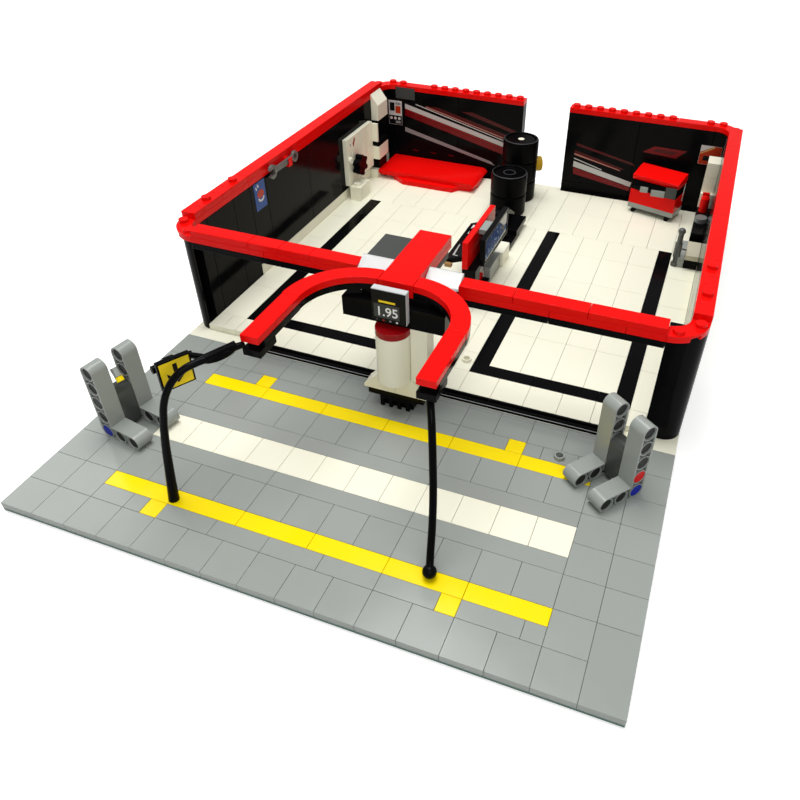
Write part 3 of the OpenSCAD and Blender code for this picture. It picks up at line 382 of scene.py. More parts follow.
# round pieces turned about an upright line
def turnedPiece(name, outline, place, body, slot, material=None, bevel=0.0, steps=72):
    bm = bmesh.new()
    line = [bm.verts.new((r * mm, 0, z * mm)) for r, z in outline]
    edges = [bm.edges.new(pair) for pair in zip(line, line[1:])]
    bmesh.ops.spin(
        bm, geom=line + edges, cent=(0, 0, 0), axis=(0, 0, 1), dvec=(0, 0, 0),
        angle=math.tau, steps=steps, use_merge=True, use_duplicate=False)
    bmesh.ops.remove_doubles(bm, verts=bm.verts, dist=weld)
    bmesh.ops.recalc_face_normals(bm, faces=bm.faces)
    bmesh.ops.translate(bm, verts=bm.verts, vec=at(*place))
    return finishPiece(bm, name, body, slot, material, bevel, angle=25)


tyreSet = {  # outlines as radius and height above the tyre's foot
    "wall": [
        (0, 0.9), (7, 0.9), (7.2, 0.4), (9, 0), (11, 0), (11.7, 0.35), (12, 1.1),
        (12, 12.8), (11.7, 13.55), (11, 13.9)],
    "rim": [(10.6, 13.9), (10.2, 13.4), (10.0, 12.5)],
    "ringed": [(4.4, 12.5), (4.3, 13.3), (3.5, 13.3), (3.4, 12.3), (0, 12.3)],
    "flat": [(9.4, 12.3), (9.2, 13.2), (1.9, 13.2), (1.8, 12.8), (0, 12.8)],
    # painted highlights: pale rings on the tyre's top edge and on its middle ring
    "outerRing": [(11.0, 0), (11.0, 0.1), (11.5, -0.1), (11.5, -0.25), (11.0, 0)],
    "outerRingUp": 13.86,
    "innerRing": [(3.5, 0), (3.5, 0.12), (4.2, 0.12), (4.2, 0), (3.5, 0)],
    "innerRingUp": 13.28,
    "stacks": {"front": (118.2, 326.6), "back": (118.2, 351.2)},
    "foot": 7.7,
    "step": 13.95,
    "rows": [  # node, stack, level, face, body
        ("tyre_front_top", "front", 1, "ringed", "front_tyre"),
        ("tyre_back_top", "back", 2, "flat", "back_tyre"),
        ("tyres_lower", "front", 0, "flat", "garage"),
        ("tyres_lower", "back", 0, "flat", "garage"),
        ("tyres_lower", "back", 1, "flat", "garage"),
    ],
}


def tyrePlace(stack, level, up=0):
    return (*tyreSet["stacks"][stack], tyreSet["foot"] + level * tyreSet["step"] + up)


for i, (node, stack, level, face, body) in enumerate(tyreSet["rows"]):
    outline = tyreSet["wall"] + tyreSet["rim"] + tyreSet[face]
    tyre = turnedPiece(f"tyre_{i}", outline, tyrePlace(stack, level), body, "tyre_rubber", bevel=0.15)
    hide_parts(node)
print("tyres ready")


# cards, stripes and labels: thin sheets with straight edges
def sheetPiece(name, corners, lift, body, slot, material=None):
    bm = bmesh.new()
    face = bm.faces.new([bm.verts.new(c) for c in corners])
    grown = bmesh.ops.extrude_face_region(bm, geom=[face])["geom"]
    bmesh.ops.translate(bm, verts=[v for v in grown if isinstance(v, bmesh.types.BMVert)], vec=lift)
    bmesh.ops.recalc_face_normals(bm, faces=bm.faces)
    finishPiece(bm, name, body, slot, material)


def cornersOf(wide, high):  # the four corners of a rectangle, from its two spans
    return [(wide[0], high[0]), (wide[1], high[0]), (wide[1], high[1]), (wide[0], high[1])]


def ovalLine(middleX, middleY, wide, high, start, end, steps=20):  # part of an oval, angles in degrees
    angles = [math.radians(start + (end - start) * k / steps) for k in range(steps + 1)]
    return [(middleX + wide * math.cos(a), middleY + high * math.sin(a)) for a in angles]


def ink(name, colour, rough=0.2, vary=0.02, spec=0.2):
    return plastic(name, colour, rough, vary, wave=0.008, spec=spec)


inkSets = {
    "paleInk": {"colour": (0.52, 0.52, 0.50)},
    "greyInk": {"colour": (0.25, 0.26, 0.26)},
    "redInk": {"colour": (0.36, 0.012, 0.012)},
    "darkRedInk": {"colour": (0.16, 0.002, 0.005)},
    "dimRedInk": {"colour": (0.065, 0.003, 0.004)},
    "pinkInk": {"colour": (0.42, 0.16, 0.13)},
    "cardInk": {"colour": (0.60, 0.60, 0.58)},
    "orangeInk": {"colour": (0.46, 0.035, 0.008)},
    "goldInk": {"colour": (0.55, 0.38, 0.12)},
    "blackInk": {"colour": (0.005, 0.005, 0.005), "spec": 0.12},
    "whiteInk": {"colour": (0.82, 0.82, 0.80), "vary": 0.01},
    "yellowInk": {"colour": (0.90, 0.66, 0.02)},
    "darkGreyInk": {"colour": (0.05, 0.055, 0.055)},
    "blueInk": {"colour": (0.02, 0.07, 0.30)},
    # painted highlight on the tyres' top edges and middle ring
    "highlightInk": {"colour": (0.045, 0.047, 0.05), "rough": 0.35},
    "ochreInk": {"colour": (0.46, 0.27, 0.008), "rough": 0.25},
    "tanInk": {"colour": (0.36, 0.22, 0.08)},
    # painted shade, laid in the stands' hollows and holes
    "paintedShadeInk": {"colour": (0.018, 0.019, 0.018), "rough": 0.4, "spec": 0.1},
    "bluePin": {"colour": (0.004, 0.016, 0.34), "spec": 0.08},
    "redPin": {"colour": (0.62, 0.004, 0.004), "spec": 0.08},
}
inks = {name: ink(name, **s) for name, s in inkSets.items()}

backStripes = {  # name: ink, then x and z of the four corners on the back wall
    "left_pale": ("paleInk", [(22.6, 52.7), (22.5, 49.3), (111.3, 28.6), (111.3, 31.8)]),
    "left_hair": ("paleInk", [(31.1, 53.5), (31.0, 52.9), (111.3, 32.8), (111.3, 33.4)]),
    "left_soft": ("pinkInk", [(39.0, 52.8), (39.0, 52.0), (111.3, 34.4), (111.3, 35.2)]),
    "left_soft_edge": ("dimRedInk", [(48.0, 53.0), (39.0, 52.9), (111.3, 35.3), (111.3, 38.0)]),
    "left_dim": ("dimRedInk", [(74.3, 53.0), (66.0, 52.4), (108.0, 41.6), (108.0, 44.0)]),
    "left_line": ("redInk", [(22.5, 49.0), (22.5, 48.3), (111.3, 27.2), (111.3, 27.9)]),
    "left_red": ("darkRedInk", [(22.5, 47.9), (22.5, 44.2), (111.3, 22.8), (111.3, 26.8)]),
    "left_grey": ("greyInk", [(22.3, 35.6), (22.3, 32.4), (93.3, 16.6), (90.3, 19.3)]),
    "left_mark_0": ("dimRedInk", [(29.0, 19.8), (28.4, 18.6), (32.4, 18.2), (33.0, 19.4)]),
    "left_mark_1": ("dimRedInk", [(43.2, 19.8), (42.6, 18.6), (46.6, 18.2), (47.2, 19.4)]),
    "left_mark_2": ("dimRedInk", [(57.3, 19.8), (56.7, 18.6), (60.7, 18.2), (61.3, 19.4)]),
    "right_dim": ("dimRedInk", [(151.7, 42.1), (151.9, 40.3), (194.0, 31.7), (191.2, 33.8)]),
    "right_soft_edge": ("dimRedInk", [(151.2, 36.9), (151.1, 34.9), (183.0, 27.6), (187.0, 28.4)]),
    "right_soft": ("pinkInk", [(151.1, 34.8), (151.0, 33.7), (184.7, 26.7), (183.0, 27.6)]),
    "right_hair": ("paleInk", [(151.1, 31.5), (151.1, 30.8), (171.5, 25.4), (171.5, 26.0)]),
    "right_pale": ("paleInk", [(151.1, 29.2), (151.1, 25.2), (192.7, 16.6), (193.2, 19.9)]),
    "right_red": ("darkRedInk", [(151.2, 24.6), (151.8, 19.9), (192.3, 13.4), (192.8, 16.3)]),
    "right_band": ("darkRedInk", [(204.3, 47.3), (197.0, 42.6), (219.0, 41.0), (225.6, 46.9)]),
    "right_band_core": ("dimRedInk", [(206.0, 45.8), (203.0, 44.0), (216.4, 43.0), (219.6, 45.4)]),
}
backFace = 376.0  # the inner face of the back wall
stripeThick = {"plain": 0.06, "core": 0.09}


def backSheet(name, points, out, thick, colour):
    corners = [at(x, backFace - out, z) for x, z in points]
    sheetPiece(name, corners, (0, -thick * mm, 0), "garage", "white_plastic", inks[colour])


for name, (colour, points) in backStripes.items():
    thick = stripeThick["core" if name.endswith("core") else "plain"]
    backSheet("back_stripe_" + name, points, 0, thick, colour)

cards = {  # spans on x and z, distance out from the wall, thickness, ink
    "wall_tile_grey": ((15.6, 30.4), (56.0, 63.9), 0, 0.4, "darkGreyInk"),
    "poster_left": ((9.4, 20.0), (36.5, 54.0), 0, 0.1, "cardInk"),
    "poster_left_patch": ((14.9, 19.0), (45.0, 50.2), 0.12, 0.04, "orangeInk"),
    "poster_left_bar": ((10.4, 14.2), (46.4, 52.4), 0.12, 0.04, "blackInk"),
    "poster_left_edge": ((14.9, 19.0), (51.0, 52.8), 0.12, 0.04, "greyInk"),
    "poster_left_foot": ((9.6, 19.8), (36.7, 43.2), 0.12, 0.04, "blackInk"),
    "poster_right": ((233.6, 247.0), (40.0, 52.6), 0, 0.1, "cardInk"),
    "poster_right_foot": ((236.2, 246.0), (42.6, 45.8), 0.16, 0.04, "blackInk"),
    "emblem_tile": ((14.9, 18.8), (37.6, 39.4), 0.16, 0.02, "greyInk"),
}
for name, (wide, high, out, thick, colour) in cards.items():
    backSheet(name, cornersOf(wide, high), out, thick, colour)

posterShapes = {  # distance out from the wall, thickness, ink, points on x and z
    "poster_right_field": (
        0.1, 0.04, "orangeInk", [(233.7, 48.0), (233.7, 40.1), (246.9, 40.1), (246.9, 52.5), (242.0, 52.5)]),
    "poster_right_line": (
        0.14, 0.04, "goldInk", [(233.8, 47.4), (233.8, 46.6), (242.6, 51.6), (242.0, 52.3)]),
}
for name, (out, thick, colour, points) in posterShapes.items():
    backSheet(name, points, out, thick, colour)

posterDots = {"x": (11.4, 14.6, 17.8), "z": 41.2, "radius": 1.1, "sides": 16, "out": 0.16, "thick": 0.03}
for i, x in enumerate(posterDots["x"]):
    radius, sides = posterDots["radius"], posterDots["sides"]
    points = ovalLine(x, posterDots["z"], radius, radius, 0, 360 - 360 / sides, sides - 1)
    backSheet(f"poster_dot_{i}", points, posterDots["out"], posterDots["thick"], "cardInk")

# card on the left wall: a blue field with a bowl, an oval and two strokes
wallCard = {  # places on y and z, ovals as middle, half width and half height
    "face": 8.0,
    "field": ((195.6, 206.6), (45.8, 61.6)),
    "thick": 0.1,
    "markThick": 0.04,
    "bowl": (201.6, 52.4, 3.1, 2.5),
    "bowlInside": (201.6, 52.4, 1.86, 1.25),
    "oval": (201.4, 54.6, 3.4, 2.3),
    "ovalOut": 0.16,
    "strokes": [(197.6, 57.6), (199.4, 58.6)],
    "strokeLine": [(0, 0), (1.1, 0), (0.7, 1.9), (-0.4, 1.9)],
}


def sideSheet(name, points, out, thick, colour):
    corners = [at(wallCard["face"] + out, y, z) for y, z in points]
    sheetPiece(name, corners, (thick * mm, 0, 0), "garage", "white_plastic", inks[colour])


field, mark = wallCard["thick"], wallCard["markThick"]
sideSheet("side_card", cornersOf(*wallCard["field"]), 0, field, "blueInk")
bowlLine = ovalLine(*wallCard["bowl"], 180, 360) + ovalLine(*wallCard["bowlInside"], 360, 180)
sideSheet("side_card_bowl", bowlLine, field, mark, "cardInk")
sideSheet("side_card_oval", ovalLine(*wallCard["oval"], 0, 342), wallCard["ovalOut"], mark, "orangeInk")
for i, (y, z) in enumerate(wallCard["strokes"]):
    points = [(y + a, z + b) for a, b in wallCard["strokeLine"]]
    sideSheet(f"side_card_stroke_{i}", points, field, mark, "cardInk")

# sign: black frame, yellow field and a plain arrow, all on the plate that tilts
signSet = {
    "middle": (70.5, 41.9, 61.6),
    "turn": 60.6,
    "half": 6.6,
    "border": 0.75,
    "fieldThick": 0.1,
    "arrowThick": 0.06,
    "arrowStem": ((-0.85, 0.85), (-2.4, 4.4)),
    "arrowHead": [(0, -4.4), (3.6, -0.9), (3.6, 0.9), (0, -2.6)],
}


def signPlace(s, right, up, out):  # a place on the sign, in millimetres
    turn = math.radians(s["turn"])
    x, y, z = s["middle"]
    aside = x + right * math.cos(turn) + out * math.sin(turn)
    ahead = y + right * math.sin(turn) - out * math.cos(turn)
    return aside, ahead, z + up


def signSheet(s, name, points, out, thick, colour):
    corners = [at(*signPlace(s, a, b, out)) for a, b in points]
    lift = at(*signPlace(s, 0, 0, out + thick)) - at(*signPlace(s, 0, 0, out))
    sheetPiece(name, corners, lift, "hung_sign", "yellow_plastic", inks[colour])


def makeSign(s):
    field = s["half"] - s["border"]
    span = (-field, field)
    face, thick = s["fieldThick"], s["arrowThick"]
    signSheet(s, "sign_field", cornersOf(span, span), 0, face, "yellowInk")
    signSheet(s, "sign_arrow_stem", cornersOf(*s["arrowStem"]), face, thick, "blackInk")
    for side in (-1, 1):  # the arrow's head: two slanted strokes that meet at its tip
        points = [(a * side, b) for a, b in s["arrowHead"]]
        signSheet(s, f"sign_arrow_head_{side + 1}", points, face, thick, "blackInk")


makeSign(signSet)

# display: a dark label on the standing tile, with a bar, a screen, digits and small lamps
displaySet = {
    "face": 108.8,
    "thick": 0.05,
    "labels": {  # spans on x and z, distance out from the face, ink
        "label": ((120.2, 135.8), (55.8, 71.2), 0.0, "blackInk"),
        "bar": ((123.4, 131.0), (65.4, 66.4), 0.05, "yellowInk"),
        "screen": ((121.0, 132.8), (57.7, 64.6), 0.05, "darkGreyInk"),
    },
    "lamps": ["darkGreyInk", "redInk", "greyInk", "whiteInk"],
    "lampFrom": (121.8, 122.7),
    "lampHigh": (56.2, 57.0),
    "lampStep": 3.1,
    "digits": {
        "text": "1.95", "size": 5.4, "x": 121.9, "z": 58.9, "out": 0.13,
        "bold": 0.07, "thick": 0.02, "stretch": (1.12, 1, 1.15),
    },
}


def displaySheet(s, name, wide, high, out, colour):
    corners = [at(x, s["face"] - out, z) for x, z in cornersOf(wide, high)]
    lift = (0, -s["thick"] * mm, 0)
    sheetPiece("display_" + name, corners, lift, "garage", "black_plastic", inks[colour])


def meshOf(curve):  # a curve turned into a bmesh
    line = bpy.data.objects.new(curve.name + "_line", curve)
    bpy.context.scene.collection.objects.link(line)
    bpy.context.view_layer.update()
    mesh = bpy.data.meshes.new_from_object(line.evaluated_get(bpy.context.evaluated_depsgraph_get()))
    bpy.data.objects.remove(line)
    bm = bmesh.new()
    bm.from_mesh(mesh)
    return bm


def makeDigits(s, face):
    curve = bpy.data.curves.new("display_digits", "FONT")
    curve.body = s["text"]
    curve.size = s["size"] * mm
    curve.extrude = s["thick"] * mm
    curve.offset = s["bold"] * mm
    bm = meshOf(curve)
    bmesh.ops.rotate(bm, verts=bm.verts, matrix=Matrix.Rotation(math.radians(90), 3, "X"))
    bmesh.ops.scale(bm, verts=bm.verts, vec=s["stretch"])
    bmesh.ops.translate(bm, verts=bm.verts, vec=at(s["x"], face - s["out"], s["z"]))
    finishPiece(bm, "display_digits", "garage", "white_plastic", inks["whiteInk"])


for name, row in displaySet["labels"].items():
    displaySheet(displaySet, name, *row)
for i, colour in enumerate(displaySet["lamps"]):
    wide = [x + displaySet["lampStep"] * i for x in displaySet["lampFrom"]]
    displaySheet(displaySet, f"lamp_{i}", wide, displaySet["lampHigh"], displaySet["thick"], colour)
makeDigits(displaySet["digits"], displaySet["face"])
print("labels ready")


# hoses: bent bars of round section
def tubePiece(name, route, radii, body, slot, sides=5, steps=5):
    curve = bpy.data.curves.new(name, "CURVE")
    curve.dimensions = "3D"
    curve.bevel_depth = mm
    curve.bevel_resolution = sides
    curve.resolution_u = steps
    curve.use_fill_caps = True
    line = curve.splines.new("BEZIER")
    line.bezier_points.add(len(route) - 1)
    for point, place, radius in zip(line.bezier_points, route, radii):
        point.co = at(*place)
        point.radius = radius
        point.handle_left_type = point.handle_right_type = "AUTO"
    bm = meshOf(curve)
    bmesh.ops.remove_doubles(bm, verts=bm.verts, dist=weld)
    bmesh.ops.recalc_face_normals(bm, faces=bm.faces)
    return finishPiece(bm, name, body, slot, angle=50)


def alongLine(bm, verts, start, end):  # lays what was made round the origin, long on X, from start to end
    a, b = at(*start), at(*end)
    turn = (b - a).to_track_quat("X", "Z").to_matrix()
    bmesh.ops.rotate(bm, verts=verts, matrix=turn)
    bmesh.ops.translate(bm, verts=verts, vec=(a + b) / 2)


def lengthOf(start, end):
    return (at(*start) - at(*end)).length


leftHose = {
    "route": [
        (88.8, 60.8, 66.9), (85, 54.6, 67), (81, 49, 66.4), (77.6, 44.4, 66), (75, 40.8, 65),
        (72.8, 37.8, 62.6), (70.8, 35, 58.6), (69.2, 32.8, 53), (68.2, 31.4, 46), (67, 29.8, 34),
        (66, 28.4, 20), (65, 27, 4.6)],
    "radii": [1.3, 1.5, 1.5, 1.5, 1.45, 1.45, 1.45, 1.45, 1.5, 1.65, 1.85, 2.25],
    "belly": ((87.4, 57.4, 66.9), (79.2, 46.6, 65.6)),
    "bellySize": (4.0, 4.6),
    "bellyCheek": 0.38,
    "bellyTop": 0.25,
    "ridge": ((87.6, 57.6, 69.0), (80.2, 47.8, 67.3)),
    "ridgeSize": (2.4, 1.5),
}
rightHose = {
    "route": [
        (164, 64, 60.75), (166, 60, 57.4), (168.4, 55, 49.5), (170.6, 50, 40.6), (172.8, 44.6, 30.7),
        (174.6, 39, 20.8), (176.2, 33, 12.3), (177.4, 29, 7.5)],
    "radius": 1.5,
    "ball": (177.4, 29, 7.5),
    "ballRadius": 2.8,
}


def makeGrip(s):
    bm = bmesh.new()
    belly = bmesh.ops.create_uvsphere(bm, u_segments=24, v_segments=14, radius=0.5)["verts"]
    wide, high = (size * mm for size in s["bellySize"])
    bmesh.ops.scale(bm, verts=belly, vec=(lengthOf(*s["belly"]), wide, high))
    cheek, top = s["bellyCheek"] * wide, s["bellyTop"] * high
    for v in belly:  # flat cheeks and a flat top under the ridge
        v.co.y = max(-cheek, min(cheek, v.co.y))
        v.co.z = min(v.co.z, top)
    alongLine(bm, belly, *s["belly"])
    ridge = bmesh.ops.create_cube(bm, size=1)["verts"]
    wide, high = (size * mm for size in s["ridgeSize"])
    bmesh.ops.scale(bm, verts=ridge, vec=(lengthOf(*s["ridge"]), wide, high))
    alongLine(bm, ridge, *s["ridge"])
    finishPiece(bm, "hose_grip", "garage", "black_plastic", bevel=0.3, segments=3)


hose = tubePiece("hose_left_tube", leftHose["route"], leftHose["radii"], "garage", "black_plastic")
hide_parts("hose_left")
makeGrip(leftHose)
radii = [rightHose["radius"]] * len(rightHose["route"])
hose = tubePiece("hose_right_tube", rightHose["route"], radii, "garage", "black_plastic")
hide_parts("hose_right")


def ballPiece(name, place, radius, body, slot):
    bm = bmesh.new()
    ball = bmesh.ops.create_uvsphere(bm, u_segments=32, v_segments=18, radius=radius * mm)["verts"]
    bmesh.ops.translate(bm, verts=ball, vec=at(*place))
    finishPiece(bm, name, body, slot, angle=60)


ballPiece("hose_right_ball", rightHose["ball"], rightHose["ballRadius"], "garage", "black_plastic")


def rodPiece(name, start, end, radius, body, slot, material=None, bevel=0.15, sides=32):
    bm = bmesh.new()
    a, b = at(*start), at(*end)
    r, length = radius * mm, (b - a).length
    rod = bmesh.ops.create_cone(
        bm, cap_ends=True, segments=sides, radius1=r, radius2=r, depth=length)["verts"]
    bmesh.ops.rotate(bm, verts=rod, matrix=(b - a).to_track_quat("Z", "Y").to_matrix())
    bmesh.ops.translate(bm, verts=rod, vec=(a + b) / 2)
    finishPiece(bm, name, body, slot, material, bevel)


signBar = {
    "back": 5.0,
    "up": 1.6,
    "half": 9.0,
    "ends": (-0.8, 1),
    "radius": 1.6,
    "stub": ((70.2, 51.4, 63.2), (81, 49.4, 66)),
    "stubRadius": 1.3,
}
start, end = (
    signPlace(signSet, share * signBar["half"], signBar["up"], -signBar["back"]) for share in signBar["ends"])
rodPiece("sign_bar", start, end, signBar["radius"], "garage", "black_plastic")
rodPiece("sign_bar_stub", *signBar["stub"], signBar["stubRadius"], "garage", "black_plastic")

# stands: coloured pins in the holes, and painted shade: dark sheets on the floors of the hollows between
# their ribs and dark discs in the holes
standSet = {
    "stand_left": {"middle": (17.4, 59.6), "turn": -10, "pins": {0: "bluePin"}},
    "stand_right": {"middle": (233.5, 104.2), "turn": 231.7, "pins": {0: "bluePin", 1: "redPin"}},
}
beamSet = {
    "foot": 4.5 + 3.7,  # the tiles' top and half a beam
    "faces": [(-11.92, -1), (-4.08, 1), (4.08, -1), (11.92, 1)],  # place, and the way each looks
    "pitch": 8,
    "up": 5,
    "along": 3,
    # the painted shade: strips in the hollows and discs in the holes
    "stripHalf": 2.85,
    "stripInset": 1.5,
    "stripDeep": 1.2,
    "floorThick": 0.06,
    "holeRadius": 2.75,
    "holeDeep": 0.7,
    "coreHole": (0, 2),  # a pin of the core ends close behind its face
    "coreHoleDeep": 0.3,
    "pinRadius": 3.0,
    "pinThick": 0.9,
    "pinDeep": 0.55,
}


def placeOnStand(bm, s):
    bmesh.ops.rotate(bm, verts=bm.verts, matrix=Matrix.Rotation(math.radians(s["turn"]), 3, "Z"))
    bmesh.ops.translate(bm, verts=bm.verts, vec=at(*s["middle"], beamSet["foot"]))


def addDisc(bm, radius, thick, x, y, z):  # a round plate that faces along Y
    r = radius * mm
    disc = bmesh.ops.create_cone(
        bm, cap_ends=True, segments=32, radius1=r, radius2=r, depth=thick * mm)["verts"]
    bmesh.ops.rotate(bm, verts=disc, matrix=Matrix.Rotation(math.radians(90), 3, "X"))
    bmesh.ops.translate(bm, verts=disc, vec=(x * mm, y * mm, z * mm))


def addStrip(bm, wide, y, high, thick):  # a flat strip that faces along Y
    strip = bmesh.ops.create_cube(bm, size=1)["verts"]
    bmesh.ops.scale(bm, verts=strip, vec=((wide[1] - wide[0]) * mm, thick * mm, (high[1] - high[0]) * mm))
    bmesh.ops.translate(bm, verts=strip, vec=(sum(wide) / 2 * mm, y * mm, sum(high) / 2 * mm))


# painted shade: dark sheets and discs where the hollows and holes of the beams lie in shade
def makePaintedHollowShade(stand, s, b):
    bm = bmesh.new()
    pitch, inset, thick = b["pitch"], b["stripInset"], b["floorThick"]
    across = (-b["stripHalf"], b["stripHalf"])
    upright, level = ((inset, pitch * (b[way] - 1) - inset) for way in ("up", "along"))
    holes = [(0, row) for row in range(b["up"])] + [(column, 0) for column in range(1, b["along"])]
    for face, out in b["faces"]:
        addStrip(bm, across, face - out * b["stripDeep"], upright, thick)
        addStrip(bm, level, face - out * b["stripDeep"], across, thick)
        for hole in holes:
            deep = b["coreHoleDeep"] if hole == b["coreHole"] else b["holeDeep"]
            addDisc(bm, b["holeRadius"], thick, hole[0] * pitch, face - out * deep, hole[1] * pitch)
    placeOnStand(bm, s)
    finishPiece(bm, stand + "_painted_hollow_shade", stand, "dark_grey_plastic", inks["paintedShadeInk"])


def makePin(stand, s, b, hole, colour):
    bm = bmesh.new()
    for face, out in (b["faces"][0], b["faces"][-1]):  # the two outer faces
        addDisc(bm, b["pinRadius"], b["pinThick"], 0, face - out * b["pinDeep"], b["pitch"] * hole)
    placeOnStand(bm, s)
    name = f"{stand}_pin_{hole}"
    finishPiece(bm, name, stand, "dark_grey_plastic", inks[colour], bevel=0.3, segments=3)


for stand, s in standSet.items():
    makePaintedHollowShade(stand, s, beamSet)
    for hole, colour in s["pins"].items():
        makePin(stand, s, beamSet, hole, colour)
print("hoses and pins ready")


# small bricks and marks that only the scene has
def blockPiece(name, spans, body, slot, material=None, bevel=0.2):
    bm = bmesh.new()
    low, high = at(*(span[0] for span in spans)), at(*(span[1] for span in spans))
    block = bmesh.ops.create_cube(bm, size=1)["verts"]
    bmesh.ops.scale(bm, verts=block, vec=high - low)
    bmesh.ops.translate(bm, verts=block, vec=(low + high) / 2)
    finishPiece(bm, name, body, slot, material, bevel)


seamSet = {  # strips that stop light in the seams between bricks
    "half": 0.4,
    "wall": (4.6, 62),
    "wallOverFoot": (14.3, 62),
    "footFrom": 192,
    "rim": (62.3, 65.2),
    "rimAndTile": (62.3, 68.0),
    "beam": (59.1, 62.0),
    "backX": (16, 64, 192, 240),
    "backY": (380, 383.5),
    "backRimX": (232, 240),
    "backRimY": (377, 383.5),
    "frontX": 240,
    "frontY": (129, 135),
    "sideY": (152, 176, 192, 208, 256, 304, 352),
    "sideX": {"left": (0.5, 4), "right": (252, 255.5)},
    "sideRimY": 192,
    "sideRimX": {"left": (1, 7), "right": (249, 255)},
}


def around(place):
    return place - seamSet["half"], place + seamSet["half"]


def seam(name, wide, deep, high, slot="black_plastic"):
    blockPiece("seam_" + name, (wide, deep, high), "garage", slot)


for i, x in enumerate(seamSet["backX"]):
    seam(f"back_{i}", around(x), seamSet["backY"], seamSet["wall"])
for i, x in enumerate(seamSet["backRimX"]):
    seam(f"rim_{i}", around(x), seamSet["backRimY"], seamSet["rim"], "red_plastic")
seam("front_0", around(seamSet["frontX"]), seamSet["frontY"], seamSet["rim"], "red_plastic")
seam("front_1", around(seamSet["frontX"]), seamSet["frontY"], seamSet["beam"])

trolley = bodyOf["trolley_body"]
smallBricks = {  # spans on x, y and z, body, slot
    "service_plate": (((8.05, 15.98), (342.4, 358.4), (31.66, 34.94)), "garage", "black_plastic"),
    "wall_brick_0": (((236.1, 239.9), (291.2, 301.8), (7.72, 14.0)), "garage", "light_grey_plastic"),
    "wall_brick_1": (((236.1, 239.9), (304.2, 314.9), (7.72, 14.0)), "garage", "light_grey_plastic"),
    "trolley_label_0": (((202.1, 207.1), (348.6, 349.2), (26.0, 29.8)), trolley, "light_grey_plastic"),
    "trolley_label_1": (((209.3, 218.2), (348.6, 349.2), (24.4, 28.7)), trolley, "light_grey_plastic"),
    "trolley_label_2": (((218.4, 225.6), (348.6, 349.2), (24.5, 31.6)), trolley, "dark_grey_plastic"),
}
for name, (spans, body, slot) in smallBricks.items():
    blockPiece(name, spans, body, slot)

for i, y in enumerate(seamSet["sideY"]):
    high = seamSet["wall"] if y < seamSet["footFrom"] else seamSet["wallOverFoot"]
    for side, wide in seamSet["sideX"].items():
        seam(f"{side}_{i}", wide, around(y), high)
for side, wide in seamSet["sideRimX"].items():
    seam("rim_" + side, wide, around(seamSet["sideRimY"]), seamSet["rimAndTile"], "red_plastic")

smallRods = {  # both ends and the radius
    "service_hub": ((11.2, 304.9, 35.1), (13.2, 304.9, 35.1), 2.2),
    "tyre_dot": ((118.2, 351.2, 48.4), (118.2, 351.2, 48.95), 2.1),
    "stand_left_connector": ((18.3, 59.3, 36.3), (21.0, 58.2, 33.2), 1.6),
    "stand_left_tip": ((20.4, 58.5, 33.3), (22.0, 57.8, 31.2), 1.8),
    "tyre_nut": ((124.5, 355.0, 31.0), (131.9, 358.8, 31.0), 4.9),
}
rodPiece("service_hub", *smallRods["service_hub"], "garage", "white_plastic")
rodPiece("tyre_dot", *smallRods["tyre_dot"], "back_tyre", "white_plastic", bevel=0.1)

serviceMarks = {  # on the cupboard's face: ink, then y and z of the corners
    "red_0": ("redInk", [(311.2, 43.4), (312.0, 42.2), (313.0, 45.4), (311.0, 45.0)]),
    "red_1": ("redInk", [(311.6, 44.6), (313.6, 44.9), (314.4, 47.6), (312.8, 47.4)]),
    "grey": ("greyInk", [(306.6, 44.0), (307.2, 44.0), (307.6, 45.4), (307.0, 45.4)]),
}
cupboard = {"face": 11.25, "markThick": 0.25}
for name, (colour, points) in serviceMarks.items():
    corners = [at(cupboard["face"], y, z) for y, z in points]
    lift = (cupboard["markThick"] * mm, 0, 0)
    sheetPiece("service_mark_" + name, corners, lift, "garage", "white_plastic", inks[colour])

trolleyEdge = {  # a strip on the trolley's right side, points on y and z
    "x": 229.45,
    "thick": 0.4,
    "line": [(349.3, 24.0), (354.0, 24.0), (355.0, 27.5), (372.0, 29.2), (372.0, 30.25), (349.3, 30.25)],
}
corners = [at(trolleyEdge["x"], y, z) for y, z in trolleyEdge["line"]]
sheetPiece("trolley_edge", corners, (trolleyEdge["thick"] * mm, 0, 0), trolley, "light_grey_plastic")

railLines = {"inset": 1.5, "y": (121.6, 123.9, 126.2), "wide": 0.45, "thick": 0.03}
low, high = spanOf("door_rail", 0)
railSpan = (low + railLines["inset"], high - railLines["inset"])
railTop = spanOf("door_rail", 2)[1]
for i, y in enumerate(railLines["y"]):
    corners = [at(a, b, railTop) for a, b in cornersOf(railSpan, (y, y + railLines["wide"]))]
    lift = (0, 0, railLines["thick"] * mm)
    sheetPiece(f"door_rail_line_{i}", corners, lift, "garage", "dark_grey_plastic", inks["greyInk"])

deskBlock = ((131.3, 135.7), (221.5, 233.0), (43.4, 46.4))
blockPiece("desk_block", deskBlock, "garage", "light_grey_plastic")
rodPiece("stand_left_connector", *smallRods["stand_left_connector"], "stand_left", "light_grey_plastic")
rodPiece("stand_left_tip", *smallRods["stand_left_tip"], "stand_left", "yellow_plastic", sides=6)


def tyreHighlightRing(name, stack, level, ring):  # painted highlight: a lighter ring on a tyre's top face
    place = tyrePlace(stack, level, tyreSet[ring + "Up"])
    turnedPiece(name, tyreSet[ring], place, stack + "_tyre", "tyre_rubber", inks["highlightInk"])


tyreHighlightRing("tyre_front_highlight", "front", 1, "outerRing")
tyreHighlightRing("tyre_back_highlight", "back", 2, "outerRing")
rodPiece("tyre_nut", *smallRods["tyre_nut"], "garage", "yellow_plastic", inks["ochreInk"], bevel=0.8)
tyreHighlightRing("tyre_inner_highlight", "front", 1, "innerRing")

